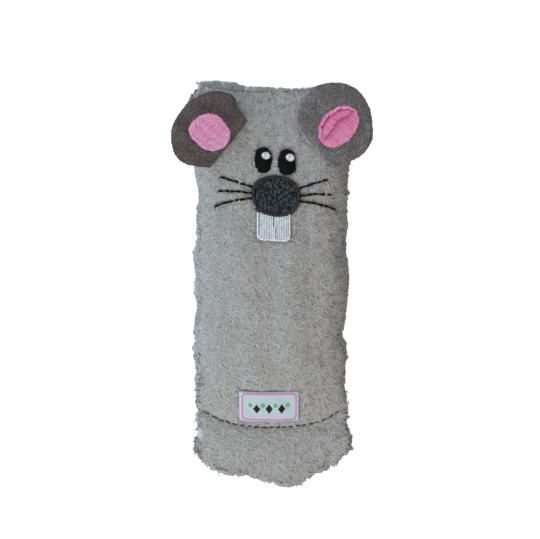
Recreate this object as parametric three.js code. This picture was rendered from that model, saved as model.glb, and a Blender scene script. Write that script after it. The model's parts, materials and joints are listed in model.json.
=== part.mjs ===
// Catnip mouse: a plush tube stuffed flat, sewn shut at its toe and again near its lower end,
// with a loose cuff below, two velour ears, an embroidered face and a small satin label.
// Millimetres. The toy lies on its back on the plane z = 0: +X is the viewer's right,
// +Y points to the toe and +Z comes out of the face. The origin is on the flat back, under the middle.

import * as THREE from "three";

// Fits
const GAP = 0.3; // between pieces that are sewn or laid on each other
const SPLIT = 0.3; // between the two layers of an ear, a pouch or a stuffing

// Sleeve: the stuffed part of the plush tube
const BODY_WIDTH = 76;
const BODY_LENGTH = 170; // closing stitch to toe seam, along the middle
const BODY_BELOW_ORIGIN = 71.7; // the part of that length below the origin
const BODY_RISE = 15.5; // front swell above the side line
const SIDE_HEIGHT = 11.5; // widest line above the floor
const FLAT_CUT = 0.5; // depth of the flat that the back lies on
const SHOULDER_WIDTH = 85; // just below the toe, where the tube is pressed flat
const TOE_WIDTH = 71;
const TOE_CORNER_RISE = 3; // corners of the toe above its middle
const CLOSING_WIDTH = 74;
const CLOSING_RISE = 10; // ends of the closing stitch above its middle
const SEAM_HEIGHT = 6; // toe and closing seams above the floor
const SEAM_HALF = 0.55; // half the pinched thickness of a seam
const PLUSH = 2.4; // cloth and pile
const SEAM_PLUSH = 0.4; // the same cloth where a seam pinches it
const FRONT_POWER = 2.4; // roundness of a cross-section's front
const BACK_POWER = 3.2; // the back is flatter
const SWELL_POWER = 2.4; // roundness of the swell along the length
const SWELL_EDGE = 0.8;
const CLOSING_POWER = 2.6; // curve of the closing stitch

// Cuff: the loose end of the tube
const CUFF_WIDTH = 79;
const CUFF_LENGTH = 26; // closing stitch to hem, along the middle
const CUFF_RISE = 6.5;
const CUFF_SWELL = 2.2; // how soon the cuff reaches its full thickness
const HEM_CORNER_RISE = 17.5;
const HEM_POWER = 3.4;
const HEM_SAG = 3.5; // the lowest fold of the hem hangs this far below the rest
const HEM_SAG_X = 8;
const HEM_SAG_WIDTH = 8;
const CREASE_HALF = 0.8; // half the crease between sleeve and cuff

// Threads
const CLOSING_THREAD_R = 0.22;
const CLOSING_THREAD_APART = 0.7; // front thread to back thread
const CLOSING_THREAD_INSET = 2; // ends of the thread inside the sides
const TOE_THREAD_R = 0.4;
const TOE_THREAD_INSET = 1.6; // below the toe edge
const TOE_THREAD_END = 3; // ends of the thread inside the toe corners
const WHISKER_R = 0.4;
const LABEL_THREAD_R = 0.25;

// Ears
const EAR_RADIUS = 20.5;
const EAR_BASE = 32;
const EAR_TILT = THREE.MathUtils.degToRad(38.5); // direction of an ear above the horizontal
const EAR_INSET = 15.8; // middle of the base line inside the sleeve's side
const EAR_BELOW_TOE = 27.4;
const EAR_LAYER = 1.5;
const EAR_RIM = 0.4;
const EAR_HINGE_DROP = 1.2; // base edge below the fold line
const EAR_HINGE_CLEAR = 0.15; // turning room of the base edge
const EAR_SEAM_WIDTH = 3;
const EAR_SEAM_HEIGHT = 0.8; // at its lowest
const LEFT_EAR_LIFT = THREE.MathUtils.degToRad(34);
const RIGHT_EAR_LIFT = THREE.MathUtils.degToRad(-5);
const OVAL_LENGTH = 23.7;
const OVAL_WIDTH = 17;
const OVAL_ABOVE_BASE = 2.4;
const OVAL_THICK = 0.7;

// Face
const NOSE_X = 1.9;
const NOSE_BELOW_TOE = 54.4;
const NOSE_WIDTH = 23.8;
const NOSE_HEIGHT = 20.7;
const NOSE_BORDER = 1.8;
const NOSE_THICK = 0.8;
const BORDER_THICK = 1.1;
const EYE_WIDTH = 8.6;
const EYE_HEIGHT = 12.7;
const EYE_BRIDGE = 3.4; // plush between the eyes
const EYES_LEFT_OF_NOSE = 0.4;
const EYE_ABOVE_NOSE = 1; // lowest point of the eyes above the nose
const EYE_SLANT = 0.9; // the left eye sits this much higher
const EYE_THICK = 0.9;
const HIGHLIGHT_R = 2.2;
const HIGHLIGHT_RIGHT = 1.5; // from the middle of the eye
const HIGHLIGHT_UP = 2.2;
const HIGHLIGHT_THICK = 0.5;
const TEETH_WIDTH = 16.5;
const TEETH_DROP = 11.7; // below the nose
const TEETH_LEFT_OF_NOSE = 1.1;
const TOOTH_BORDER = 0.9;
const TEETH_CORNER_R = 3;
const TEETH_THICK = 0.8;
const WHISKER_FROM_NOSE = 0.6;

// Each whisker: where it starts and ends above the middle of the nose, its reach and its bow
const WHISKERS = [
  { name: "whisker_left_upper", side: -1, start: 4.7, end: 9.7, reach: 15.4, bow: 0.2 },
  { name: "whisker_left_middle", side: -1, start: 1.5, end: 2.7, reach: 16.1, bow: 0.3 },
  { name: "whisker_left_lower", side: -1, start: -1.2, end: -5, reach: 18, bow: 0.7 },
  { name: "whisker_right_upper", side: 1, start: 4.1, end: 8.3, reach: 13.2, bow: 0.2 },
  { name: "whisker_right_middle", side: 1, start: 0.1, end: 0.6, reach: 15.3, bow: 0.7 },
  { name: "whisker_right_lower", side: 1, start: -2.7, end: -6.5, reach: 17, bow: 0.6 },
];

// Label
const LABEL_WIDTH = 30;
const LABEL_HEIGHT = 15; // as seen from above
const LABEL_X = -1.4;
const LABEL_ABOVE_CLOSING = 3.7;
const LABEL_THICK = 0.5;
const LABEL_STITCH_INSET = 1.1; // stitches inside the ends of the label
const LABEL_STITCH_END = 1.2; // ends of a stitch line inside the label's edges

// Filling
const STUFFING_SIDE = 4; // stuffing inside the sleeve's hollow, at the sides
const STUFFING_END = 16; // and at its ends
const BACKING_WIDTH = 44;
const BACKING_HEIGHT = 52;
const BACKING_THICK = 0.4;
const SACHET_WIDTH = 38;
const SACHET_LENGTH = 58;
const SACHET_SWELL = 4.5; // of each sheet
const SACHET_SHEET = 0.5;
const SACHET_SEAL = 5; // flat sealed edge round the pouch
const FILL_ROOM = 3; // catnip inside the seal

// Counts of facets
const AROUND = 36;
const ALONG = 16;
const CUFF_ALONG = 6;
const PATCH_POINTS = 20;
const NOSE_POINTS = 28;
const SHEET_POINTS = 24;
const THREAD_SIDES = 6;
const THREAD_STEPS = 24;
const WHISKER_STEPS = 6;
const STITCH_STEPS = 4;
const TEETH_STEPS = 4;
const TEETH_CORNER_STEPS = 2;
const EAR_BASE_STEPS = 4;

// Shares of the way from a piece's centre to its outline, one for each ring of facets
const PATCH_RINGS = [0.5, 0.85, 1];
const SHEET_RINGS = [0.35, 0.7, 1];
const SEAM_RINGS = [0.5, 1];
const EAR_RINGS = [0.5, 0.8, 0.94, 1];
const POUCH_RINGS = [0.3, 0.55, 0.75, 0.9, 1];
const STUFFING_RINGS = [0.2, 0.32, 0.4, 0.55, 0.75, 1];

// Corners of an outline: 2 is an ellipse, and a higher power is squarer
const ELLIPSE = 2;
const NOSE_POWER = 2.2;
const SEAM_POWER = 4;
const STUFFING_POWER = 4;
const BACKING_POWER = 5;
const POUCH_POWER = 6;
const LABEL_POWER = 24;
const RIM_POWER = 4; // how late a patch or an ear thins towards its rim

// Derived lines
const closingMiddle = -BODY_BELOW_ORIGIN;
const toeMiddle = BODY_LENGTH - BODY_BELOW_ORIGIN;
const bodyMiddle = (closingMiddle + toeMiddle) / 2;
const bodyDepth = SIDE_HEIGHT + FLAT_CUT;
const cuffDepth = SEAM_HEIGHT + FLAT_CUT;

const lerp = THREE.MathUtils.lerp;
const signedPower = (value, power) => Math.sign(value) * Math.abs(value) ** power;

// Colours and finishes
const finish = (color, roughness) => new THREE.MeshStandardMaterial({ color, roughness, metalness: 0 });
const plush = finish(0x9a9a98, 0.95);
const velour = finish(0x55514f, 0.9);
const pinkThread = finish(0xd08aae, 0.5);
const blackThread = finish(0x17191a, 0.55);
const whiteThread = finish(0xc8d0d8, 0.5);
const noseCloth = finish(0x343a3d, 0.85);
const greyThread = finish(0x4a4a4c, 0.7);
const oliveThread = finish(0x8a8d7c, 0.8);
const satin = finish(0xd8e2ea, 0.4);
const fibre = finish(0xeeeeea, 0.95);
const nonwoven = finish(0xe4e2da, 0.9);
const herb = finish(0x6b7a3a, 0.95);

// A mesh under construction, from rings of points that run from +X through +Z
class Skin {
  constructor() {
    this.points = [];
    this.faces = [];
  }

  ring(points) {
    const start = this.points.length;
    this.points.push(...points);
    return { start, count: points.length };
  }

  // Wall between two rings, facing out when b lies beyond a along +Y
  wall(a, b) {
    for (let i = 0; i < a.count; i++) {
      const j = (i + 1) % a.count;
      this.faces.push(a.start + i, b.start + i, b.start + j);
      this.faces.push(a.start + i, b.start + j, a.start + j);
    }
  }

  // Flat end that joins the front half of a ring to its back half, facing +Y, or -Y when turned
  end(ring, turned) {
    const { start, count } = ring;
    const face = (p, q, r) => this.faces.push(start + p, start + (turned ? r : q), start + (turned ? q : r));
    for (let i = 0; i < count / 2; i++) {
      const below = (count - i) % count;
      const nextBelow = count - i - 1;
      if (nextBelow !== i + 1) face(below, nextBelow, i + 1);
      if (below !== i) face(below, i + 1, i);
    }
  }

  geometry() {
    const made = new THREE.BufferGeometry().setFromPoints(this.points);
    made.setIndex(this.faces);
    made.computeVertexNormals();
    return made;
  }
}

// A solid between two height fields over an outline, from rings that shrink towards its centre.
// The fields take x, y and the share of the way from the centre to the outline.
function fieldSolid(outline, centre, shares, low, high) {
  const points = [];
  const faces = [];
  const count = outline.length;
  for (const field of [high, low]) {
    points.push(new THREE.Vector3(centre.x, centre.y, field(centre.x, centre.y, 0)));
    for (const share of shares) {
      for (const corner of outline) {
        const x = lerp(centre.x, corner.x, share);
        const y = lerp(centre.y, corner.y, share);
        points.push(new THREE.Vector3(x, y, field(x, y, share)));
      }
    }
  }
  const layer = points.length / 2;
  for (let i = 0; i < count; i++) {
    const j = (i + 1) % count;
    faces.push(0, 1 + i, 1 + j, layer, layer + 1 + j, layer + 1 + i);
    for (let k = 0; k + 1 < shares.length; k++) {
      const a = 1 + k * count;
      const b = a + count;
      faces.push(a + i, b + i, b + j, a + i, b + j, a + j);
      faces.push(layer + a + i, layer + b + j, layer + b + i);
      faces.push(layer + a + i, layer + a + j, layer + b + j);
    }
    const rim = 1 + (shares.length - 1) * count;
    faces.push(rim + i, layer + rim + i, layer + rim + j);
    faces.push(rim + i, layer + rim + j, rim + j);
  }
  const made = new THREE.BufferGeometry().setFromPoints(points);
  made.setIndex(faces);
  made.computeVertexNormals();
  return made;
}

// A band between two outlines with as many points each, from a low to a high height field
function bandSolid(outer, inner, low, high) {
  const points = [];
  const faces = [];
  const count = outer.length;
  for (const [outline, field] of [[outer, high], [inner, high], [inner, low], [outer, low]]) {
    for (const p of outline) points.push(new THREE.Vector3(p.x, p.y, field(p.x, p.y)));
  }
  for (let row = 0; row < 4; row++) {
    const a = row * count;
    const b = ((row + 1) % 4) * count;
    for (let i = 0; i < count; i++) {
      const j = (i + 1) % count;
      faces.push(a + i, a + j, b + j, a + i, b + j, b + i);
    }
  }
  const made = new THREE.BufferGeometry().setFromPoints(points);
  made.setIndex(faces);
  made.computeVertexNormals();
  return made;
}

// A round thread along a smooth curve through points
function thread(points, radius, steps) {
  const section = new THREE.Shape();
  for (let i = 0; i < THREAD_SIDES; i++) {
    const angle = (2 * Math.PI * i) / THREAD_SIDES;
    const corner = new THREE.Vector2(radius * Math.cos(angle), radius * Math.sin(angle));
    if (i === 0) section.moveTo(corner.x, corner.y);
    else section.lineTo(corner.x, corner.y);
  }
  const extrudePath = new THREE.CatmullRomCurve3(points);
  return new THREE.ExtrudeGeometry(section, { extrudePath, steps, bevelEnabled: false });
}

// A closed outline with rounder or squarer corners, counter-clockwise
function roundOutline(centre, width, height, power, count) {
  const outline = [];
  for (let i = 0; i < count; i++) {
    const angle = (2 * Math.PI * i) / count;
    const x = centre.x + (width / 2) * signedPower(Math.cos(angle), 2 / power);
    const y = centre.y + (height / 2) * signedPower(Math.sin(angle), 2 / power);
    outline.push(new THREE.Vector2(x, y));
  }
  return outline;
}

// The lines that bound the tube, seen from above
const closingY = (x) => closingMiddle + CLOSING_RISE * Math.abs((2 * x) / CLOSING_WIDTH) ** CLOSING_POWER;
const toeY = (x) => toeMiddle + TOE_CORNER_RISE * ((2 * x) / TOE_WIDTH) ** 2;
const sleeveStart = (x) => closingY(x) + CREASE_HALF;
const cuffStart = (x) => closingY(x) - CREASE_HALF;

function hemY(x) {
  const corner = HEM_CORNER_RISE * Math.abs((2 * x) / CUFF_WIDTH) ** HEM_POWER;
  const sag = HEM_SAG * Math.exp(-(((x - HEM_SAG_X) / HEM_SAG_WIDTH) ** 2));
  return closingMiddle - CUFF_LENGTH + corner - sag;
}

// The sleeve's half width along its length, from the closing stitch (0) to the toe (1)
const neckWidth = (BODY_WIDTH + SHOULDER_WIDTH) / 2;
const widths = [CLOSING_WIDTH, BODY_WIDTH, BODY_WIDTH, neckWidth, SHOULDER_WIDTH, TOE_WIDTH];
const widthStations = [0, 0.2, 0.66, 0.78, 0.94, 1];
const widthAt = new THREE.CubicInterpolant(widthStations, widths.map((width) => width / 2), 1);

// Cross-sections: half width, swell to the front and back, side line and cloth
function sleeveSection(t) {
  const swell = Math.max(0, 1 - Math.abs(2 * t - 1) ** SWELL_POWER) ** SWELL_EDGE;
  return {
    half: widthAt.evaluate(t)[0],
    front: lerp(SEAM_HALF, BODY_RISE, swell),
    back: lerp(SEAM_HALF, bodyDepth, swell),
    side: lerp(SEAM_HEIGHT, SIDE_HEIGHT, swell),
    cloth: lerp(SEAM_PLUSH, PLUSH, swell),
  };
}

function cuffSection(t) {
  const swell = 1 - (1 - t) ** CUFF_SWELL;
  return {
    half: lerp(CLOSING_WIDTH, CUFF_WIDTH, t) / 2,
    front: lerp(SEAM_HALF, CUFF_RISE, swell),
    back: lerp(SEAM_HALF, cuffDepth, swell),
    side: SEAM_HEIGHT,
    cloth: lerp(SEAM_PLUSH, PLUSH, swell),
  };
}

// One ring of a section, drawn in by an inset, with its y given by each point's x
function sectionRing(section, inset, yAt) {
  const ring = [];
  for (let i = 0; i < AROUND; i++) {
    const angle = (2 * Math.PI * i) / AROUND;
    const rising = Math.sin(angle) >= 0;
    const power = rising ? FRONT_POWER : BACK_POWER;
    const swell = (rising ? section.front : section.back) - inset;
    const x = (section.half - inset) * signedPower(Math.cos(angle), 2 / power);
    const z = section.side + swell * signedPower(Math.sin(angle), 2 / power);
    ring.push(new THREE.Vector3(x, yAt(x), Math.max(z, inset)));
  }
  return ring;
}

// Height of the sleeve's front or back, drawn in by an inset, at a point seen from above
function sleeveAt(x, y) {
  return sleeveSection(THREE.MathUtils.clamp((y - sleeveStart(x)) / (toeY(x) - sleeveStart(x)), 0, 1));
}

function frontHeight(x, y, inset = 0) {
  const section = sleeveAt(x, y);
  const across = Math.min(1, Math.abs(x) / (section.half - inset));
  return section.side + (section.front - inset) * (1 - across ** FRONT_POWER) ** (1 / FRONT_POWER);
}

function backHeight(x, y, inset = 0) {
  const section = sleeveAt(x, y);
  const across = Math.min(1, Math.abs(x) / (section.half - inset));
  const fall = (section.back - inset) * (1 - across ** BACK_POWER) ** (1 / BACK_POWER);
  return Math.max(section.side - fall, inset);
}

// A point held off the sleeve's front along its normal
function offFront(x, y, distance) {
  const slopeX = (frontHeight(x + GAP, y) - frontHeight(x - GAP, y)) / (2 * GAP);
  const slopeY = (frontHeight(x, y + GAP) - frontHeight(x, y - GAP)) / (2 * GAP);
  const normal = new THREE.Vector3(-slopeX, -slopeY, 1).normalize();
  return new THREE.Vector3(x, y, frontHeight(x, y)).addScaledVector(normal, distance);
}

// Plush tube

function bodySleeve() {
  const skin = new Skin();
  const outer = [];
  const inner = [];
  for (let k = 0; k <= ALONG; k++) {
    const t = (1 - Math.cos((Math.PI * k) / ALONG)) / 2;
    const section = sleeveSection(t);
    const outerY = (x) => lerp(sleeveStart(x), toeY(x), t);
    const innerY = (x) => lerp(sleeveStart(x), toeY(x) - PLUSH, t);
    outer.push(skin.ring(sectionRing(section, 0, outerY)));
    inner.push(skin.ring(sectionRing(section, section.cloth, innerY)));
  }
  for (let k = 0; k < ALONG; k++) {
    skin.wall(outer[k], outer[k + 1]);
    skin.wall(inner[k + 1], inner[k]);
  }
  skin.wall(inner[0], outer[0]);
  skin.end(outer[ALONG], false);
  skin.end(inner[ALONG], true);
  return skin.geometry();
}

function cuffSleeve() {
  const skin = new Skin();
  const outer = [];
  const inner = [];
  for (let k = 0; k <= CUFF_ALONG; k++) {
    const t = 1 - k / CUFF_ALONG;
    const section = cuffSection(t);
    const y = (x) => lerp(cuffStart(x), hemY(x), t);
    outer.push(skin.ring(sectionRing(section, 0, y)));
    inner.push(skin.ring(sectionRing(section, section.cloth, y)));
  }
  for (let k = 0; k < CUFF_ALONG; k++) {
    skin.wall(outer[k], outer[k + 1]);
    skin.wall(inner[k + 1], inner[k]);
  }
  skin.wall(inner[0], outer[0]);
  skin.wall(outer[CUFF_ALONG], inner[CUFF_ALONG]);
  return skin.geometry();
}

// Seams of the tube

function acrossPoints(halfWidth, place) {
  const points = [];
  for (let i = 0; i <= THREAD_STEPS; i++) {
    points.push(place(lerp(-halfWidth, halfWidth, i / THREAD_STEPS)));
  }
  return points;
}

function closingStitch(side) {
  const height = SEAM_HEIGHT + (side * CLOSING_THREAD_APART) / 2;
  const place = (x) => new THREE.Vector3(x, closingY(x), height);
  const points = acrossPoints(CLOSING_WIDTH / 2 - CLOSING_THREAD_INSET, place);
  return thread(points, CLOSING_THREAD_R, THREAD_STEPS);
}

function toeSeamThread() {
  const place = (x) => offFront(x, toeY(x) - TOE_THREAD_INSET, GAP + TOE_THREAD_R);
  return thread(acrossPoints(TOE_WIDTH / 2 - TOE_THREAD_END, place), TOE_THREAD_R, THREAD_STEPS);
}

// Face

const nose = new THREE.Vector2(NOSE_X, toeMiddle - NOSE_BELOW_TOE);

// An embroidered patch on the front that is thinner at its rim
function patch(outline, centre, lift, thick) {
  const low = (x, y) => frontHeight(x, y) + lift;
  const high = (x, y, share) => low(x, y) + thick * (1 - share ** RIM_POWER / 2);
  return fieldSolid(outline, centre, PATCH_RINGS, low, high);
}

function eyeCentre(side) {
  const x = nose.x - EYES_LEFT_OF_NOSE + (side * (EYE_WIDTH + EYE_BRIDGE)) / 2;
  const y = nose.y + NOSE_HEIGHT / 2 + EYE_ABOVE_NOSE + EYE_HEIGHT / 2;
  return new THREE.Vector2(x, side < 0 ? y + EYE_SLANT : y);
}

function eye(side) {
  const centre = eyeCentre(side);
  const outline = roundOutline(centre, EYE_WIDTH, EYE_HEIGHT, ELLIPSE, PATCH_POINTS);
  return patch(outline, centre, GAP, EYE_THICK);
}

function eyeHighlight(side) {
  const centre = eyeCentre(side).add(new THREE.Vector2(HIGHLIGHT_RIGHT, HIGHLIGHT_UP));
  const outline = roundOutline(centre, 2 * HIGHLIGHT_R, 2 * HIGHLIGHT_R, ELLIPSE, PATCH_POINTS / 2);
  return patch(outline, centre, GAP + EYE_THICK + GAP, HIGHLIGHT_THICK);
}

const noseOutline = (inset) =>
  roundOutline(nose, NOSE_WIDTH - 2 * inset, NOSE_HEIGHT - 2 * inset, NOSE_POWER, NOSE_POINTS);

function nosePatch() {
  return patch(noseOutline(NOSE_BORDER + GAP), nose, GAP, NOSE_THICK);
}

function noseBorder() {
  const low = (x, y) => frontHeight(x, y) + GAP;
  const high = (x, y) => low(x, y) + BORDER_THICK;
  return bandSolid(noseOutline(0), noseOutline(NOSE_BORDER), low, high);
}

// The teeth hang from the nose: their top edge follows the nose's lower edge
const teethX = nose.x - TEETH_LEFT_OF_NOSE;
const teethBottom = nose.y - NOSE_HEIGHT / 2 - TEETH_DROP;

function underNose(x) {
  const across = Math.min(1, Math.abs((2 * (x - nose.x)) / NOSE_WIDTH));
  return nose.y - (NOSE_HEIGHT / 2) * Math.sqrt(1 - across ** 2) - 2 * GAP;
}

// Outline of a panel of the teeth between two sides, with its lower corners rounded or square
function toothPanel(left, right, inset, roundLeft, roundRight) {
  const bottom = teethBottom + inset;
  const radius = TEETH_CORNER_R - inset;
  const outline = new THREE.Path();
  outline.moveTo(right, underNose(right) - inset);
  for (let i = 1; i <= TEETH_STEPS; i++) {
    const x = lerp(right, left, i / TEETH_STEPS);
    outline.lineTo(x, underNose(x) - inset);
  }
  if (roundLeft) outline.absarc(left + radius, bottom + radius, radius, Math.PI, 1.5 * Math.PI, false);
  else outline.lineTo(left, bottom);
  if (roundRight) outline.absarc(right - radius, bottom + radius, radius, 1.5 * Math.PI, 2 * Math.PI, false);
  else outline.lineTo(right, bottom);
  return outline.getPoints(TEETH_CORNER_STEPS);
}

// One tooth's outline, drawn in by some room on every side
function toothOutline(side, room) {
  const inner = GAP / 2 + room;
  const outer = TEETH_WIDTH / 2 - room;
  const [left, right] = side > 0 ? [inner, outer] : [-outer, -inner];
  return toothPanel(teethX + left, teethX + right, room, side < 0, side > 0);
}

function tooth(side) {
  const outline = toothOutline(side, TOOTH_BORDER + GAP);
  const centre = outline.reduce((sum, p) => sum.add(p), new THREE.Vector2()).divideScalar(outline.length);
  return patch(outline, centre, GAP, TEETH_THICK);
}

function toothBorder(side) {
  const low = (x, y) => frontHeight(x, y) + GAP;
  const high = (x, y) => low(x, y) + BORDER_THICK;
  return bandSolid(toothOutline(side, 0), toothOutline(side, TOOTH_BORDER), low, high);
}

function whisker({ side, start, end, reach, bow }) {
  const points = [];
  for (let i = 0; i <= WHISKER_STEPS; i++) {
    const share = i / WHISKER_STEPS;
    const x = nose.x + side * (NOSE_WIDTH / 2 + WHISKER_FROM_NOSE + reach * share);
    const y = nose.y + lerp(start, end, share) + 4 * bow * share * (1 - share);
    points.push(offFront(x, y, GAP + WHISKER_R));
  }
  return thread(points, WHISKER_R, WHISKER_STEPS);
}

// Label

const labelCentre = new THREE.Vector2(LABEL_X, closingMiddle + LABEL_ABOVE_CLOSING + LABEL_HEIGHT / 2);

function label() {
  const outline = roundOutline(labelCentre, LABEL_WIDTH, LABEL_HEIGHT, LABEL_POWER, SHEET_POINTS);
  const low = (x, y) => frontHeight(x, y) + GAP;
  const high = (x, y) => low(x, y) + LABEL_THICK;
  return fieldSolid(outline, labelCentre, SHEET_RINGS, low, high);
}

function labelStitch(side) {
  const x = labelCentre.x + side * (LABEL_WIDTH / 2 - LABEL_STITCH_INSET);
  const half = LABEL_HEIGHT / 2 - LABEL_STITCH_END;
  const points = [];
  for (let i = 0; i <= STITCH_STEPS; i++) {
    const y = labelCentre.y + lerp(-half, half, i / STITCH_STEPS);
    const height = frontHeight(x, y) + GAP + LABEL_THICK + GAP + 2 * LABEL_THREAD_R;
    points.push(new THREE.Vector3(x, y, height));
  }
  return thread(points, LABEL_THREAD_R, STITCH_STEPS);
}

// Ears

const hingeRadius = Math.hypot(EAR_HINGE_DROP, SPLIT / 2 + EAR_RIM) + EAR_HINGE_CLEAR;

// The base line of an ear on the sleeve: its middle, its directions and its slope along the sleeve
function earBase(side) {
  const middle = new THREE.Vector2(side * (BODY_WIDTH / 2 - EAR_INSET), toeMiddle - EAR_BELOW_TOE);
  const along = new THREE.Vector2(Math.sin(EAR_TILT), -side * Math.cos(EAR_TILT));
  const start = middle.clone().addScaledVector(along, -EAR_BASE / 2);
  const end = middle.clone().addScaledVector(along, EAR_BASE / 2);
  const slope = (frontHeight(end.x, end.y) - frontHeight(start.x, start.y)) / EAR_BASE;
  const climb = (x, y) => slope * along.dot(new THREE.Vector2(x, y).sub(middle));
  return { middle, along, slope, climb };
}

function earSeamOutline({ middle, along }) {
  const length = EAR_BASE - EAR_SEAM_WIDTH;
  const flat = roundOutline(new THREE.Vector2(), length, EAR_SEAM_WIDTH, SEAM_POWER, PATCH_POINTS);
  return flat.map((p) => p.rotateAround(new THREE.Vector2(), along.angle()).add(middle));
}

// Height of the seam's top under the middle of the ear: it clears the sleeve all along the base line
function earSeamTop(base) {
  const points = [base.middle, ...earSeamOutline(base)];
  const heights = points.map((p) => frontHeight(p.x, p.y) - base.climb(p.x, p.y));
  return Math.max(...heights) + GAP + EAR_SEAM_HEIGHT;
}

function earSeam(side) {
  const base = earBase(side);
  const top = earSeamTop(base);
  const low = (x, y) => frontHeight(x, y) + GAP;
  const high = (x, y) => top + base.climb(x, y);
  return fieldSolid(earSeamOutline(base), base.middle, SEAM_RINGS, low, high);
}

// Ear outline in its own frame: the fold line is the x axis and the ear grows along +y
const earMiddle = Math.sqrt(EAR_RADIUS ** 2 - (EAR_BASE / 2) ** 2) - EAR_HINGE_DROP;

function earOutline() {
  const start = -Math.acos(EAR_BASE / 2 / EAR_RADIUS);
  const arc = new THREE.Path().absarc(0, earMiddle, EAR_RADIUS, start, Math.PI - start, false);
  const outline = arc.getPoints(PATCH_POINTS / 2);
  for (let i = 1; i < EAR_BASE_STEPS; i++) {
    const x = lerp(-EAR_BASE / 2, EAR_BASE / 2, i / EAR_BASE_STEPS);
    outline.push(new THREE.Vector2(x, -EAR_HINGE_DROP));
  }
  return outline;
}

const earThick = (share) => lerp(EAR_RIM, EAR_LAYER, 1 - share ** RIM_POWER);

function earFront() {
  const low = () => SPLIT / 2;
  const high = (x, y, share) => SPLIT / 2 + earThick(share);
  return fieldSolid(earOutline(), new THREE.Vector2(0, earMiddle), EAR_RINGS, low, high);
}

function earBack() {
  const low = (x, y, share) => -SPLIT / 2 - earThick(share);
  const high = () => -SPLIT / 2;
  return fieldSolid(earOutline(), new THREE.Vector2(0, earMiddle), EAR_RINGS, low, high);
}

function earOval() {
  const centre = new THREE.Vector2(0, OVAL_ABOVE_BASE - EAR_HINGE_DROP + OVAL_LENGTH / 2);
  const outline = roundOutline(centre, OVAL_WIDTH, OVAL_LENGTH, ELLIPSE, PATCH_POINTS);
  const low = () => SPLIT / 2 + EAR_LAYER + GAP;
  const high = (x, y, share) => low() + OVAL_THICK * (1 - share ** RIM_POWER / 2);
  return fieldSolid(outline, centre, PATCH_RINGS, low, high);
}

function ear(side, name, lift) {
  const base = earBase(side);
  const seat = new THREE.Group();
  seat.position.set(base.middle.x, base.middle.y, earSeamTop(base) + GAP + hingeRadius);
  seat.rotation.set(0, -Math.atan(base.slope), base.along.angle(), "ZYX");
  const fold = new THREE.Group();
  fold.rotation.x = lift;
  fold.add(piece(name + "_front", earFront(), velour));
  fold.add(piece(name + "_back", earBack(), velour));
  fold.add(piece(name + "_oval", earOval(), pinkThread));
  seat.add(fold);
  return seat;
}

// Filling

const splitHeight = SIDE_HEIGHT;
const backingInset = PLUSH + GAP;
const stuffingInset = backingInset + BACKING_THICK + GAP;
const pouchCentre = new THREE.Vector2(0, bodyMiddle);

// Swell of a pouch sheet: full in the middle and flat along its sealed edge
function pouchSwell(x, y, grow) {
  const acrossX = Math.abs(x - pouchCentre.x) / (SACHET_WIDTH / 2 - SACHET_SEAL + grow);
  const acrossY = Math.abs(y - pouchCentre.y) / (SACHET_LENGTH / 2 - SACHET_SEAL + grow);
  return SACHET_SWELL * Math.max(0, 1 - acrossX ** 2) * Math.max(0, 1 - acrossY ** 2);
}

function pouchOutline(inset) {
  const width = SACHET_WIDTH - 2 * inset;
  const length = SACHET_LENGTH - 2 * inset;
  return roundOutline(pouchCentre, width, length, POUCH_POWER, SHEET_POINTS);
}

function sachetSheet(side) {
  const near = (x, y) => splitHeight + side * (SPLIT / 2 + pouchSwell(x, y, 0));
  const far = (x, y) => near(x, y) + side * SACHET_SHEET;
  const [low, high] = side > 0 ? [near, far] : [far, near];
  return fieldSolid(pouchOutline(0), pouchCentre, POUCH_RINGS, low, high);
}

function catnipFill() {
  const half = (x, y) => pouchSwell(x, y, 0) - GAP;
  const low = (x, y) => splitHeight - half(x, y);
  const high = (x, y) => splitHeight + half(x, y);
  return fieldSolid(pouchOutline(SACHET_SEAL + FILL_ROOM), pouchCentre, POUCH_RINGS, low, high);
}

// The two wads of stuffing leave a pocket for the pouch between them
function stuffing(side) {
  const width = BODY_WIDTH - 2 * (PLUSH + STUFFING_SIDE);
  const height = BODY_LENGTH - 2 * STUFFING_END;
  const outline = roundOutline(pouchCentre, width, height, STUFFING_POWER, AROUND);
  const pocket = (x, y) => {
    const inX = Math.abs(x - pouchCentre.x) < SACHET_WIDTH / 2 + SACHET_SEAL;
    const inY = Math.abs(y - pouchCentre.y) < SACHET_LENGTH / 2 + SACHET_SEAL;
    return SPLIT / 2 + (inX && inY ? SACHET_SHEET + GAP + pouchSwell(x, y, SACHET_SEAL) : 0);
  };
  const near = (x, y) => splitHeight + side * pocket(x, y);
  const front = (x, y) => frontHeight(x, y, stuffingInset);
  const back = (x, y) => backHeight(x, y, PLUSH + GAP);
  const [low, high] = side > 0 ? [near, front] : [back, near];
  return fieldSolid(outline, pouchCentre, STUFFING_RINGS, low, high);
}

// The stabiliser sheet that the face is stitched through, inside the front
function faceBacking() {
  const outline = roundOutline(nose, BACKING_WIDTH, BACKING_HEIGHT, BACKING_POWER, SHEET_POINTS);
  const low = (x, y) => frontHeight(x, y, backingInset + BACKING_THICK);
  const high = (x, y) => frontHeight(x, y, backingInset);
  return fieldSolid(outline, nose, SHEET_RINGS, low, high);
}

function piece(name, geometry, material) {
  const mesh = new THREE.Mesh(geometry, material);
  mesh.name = name;
  return mesh;
}

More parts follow.
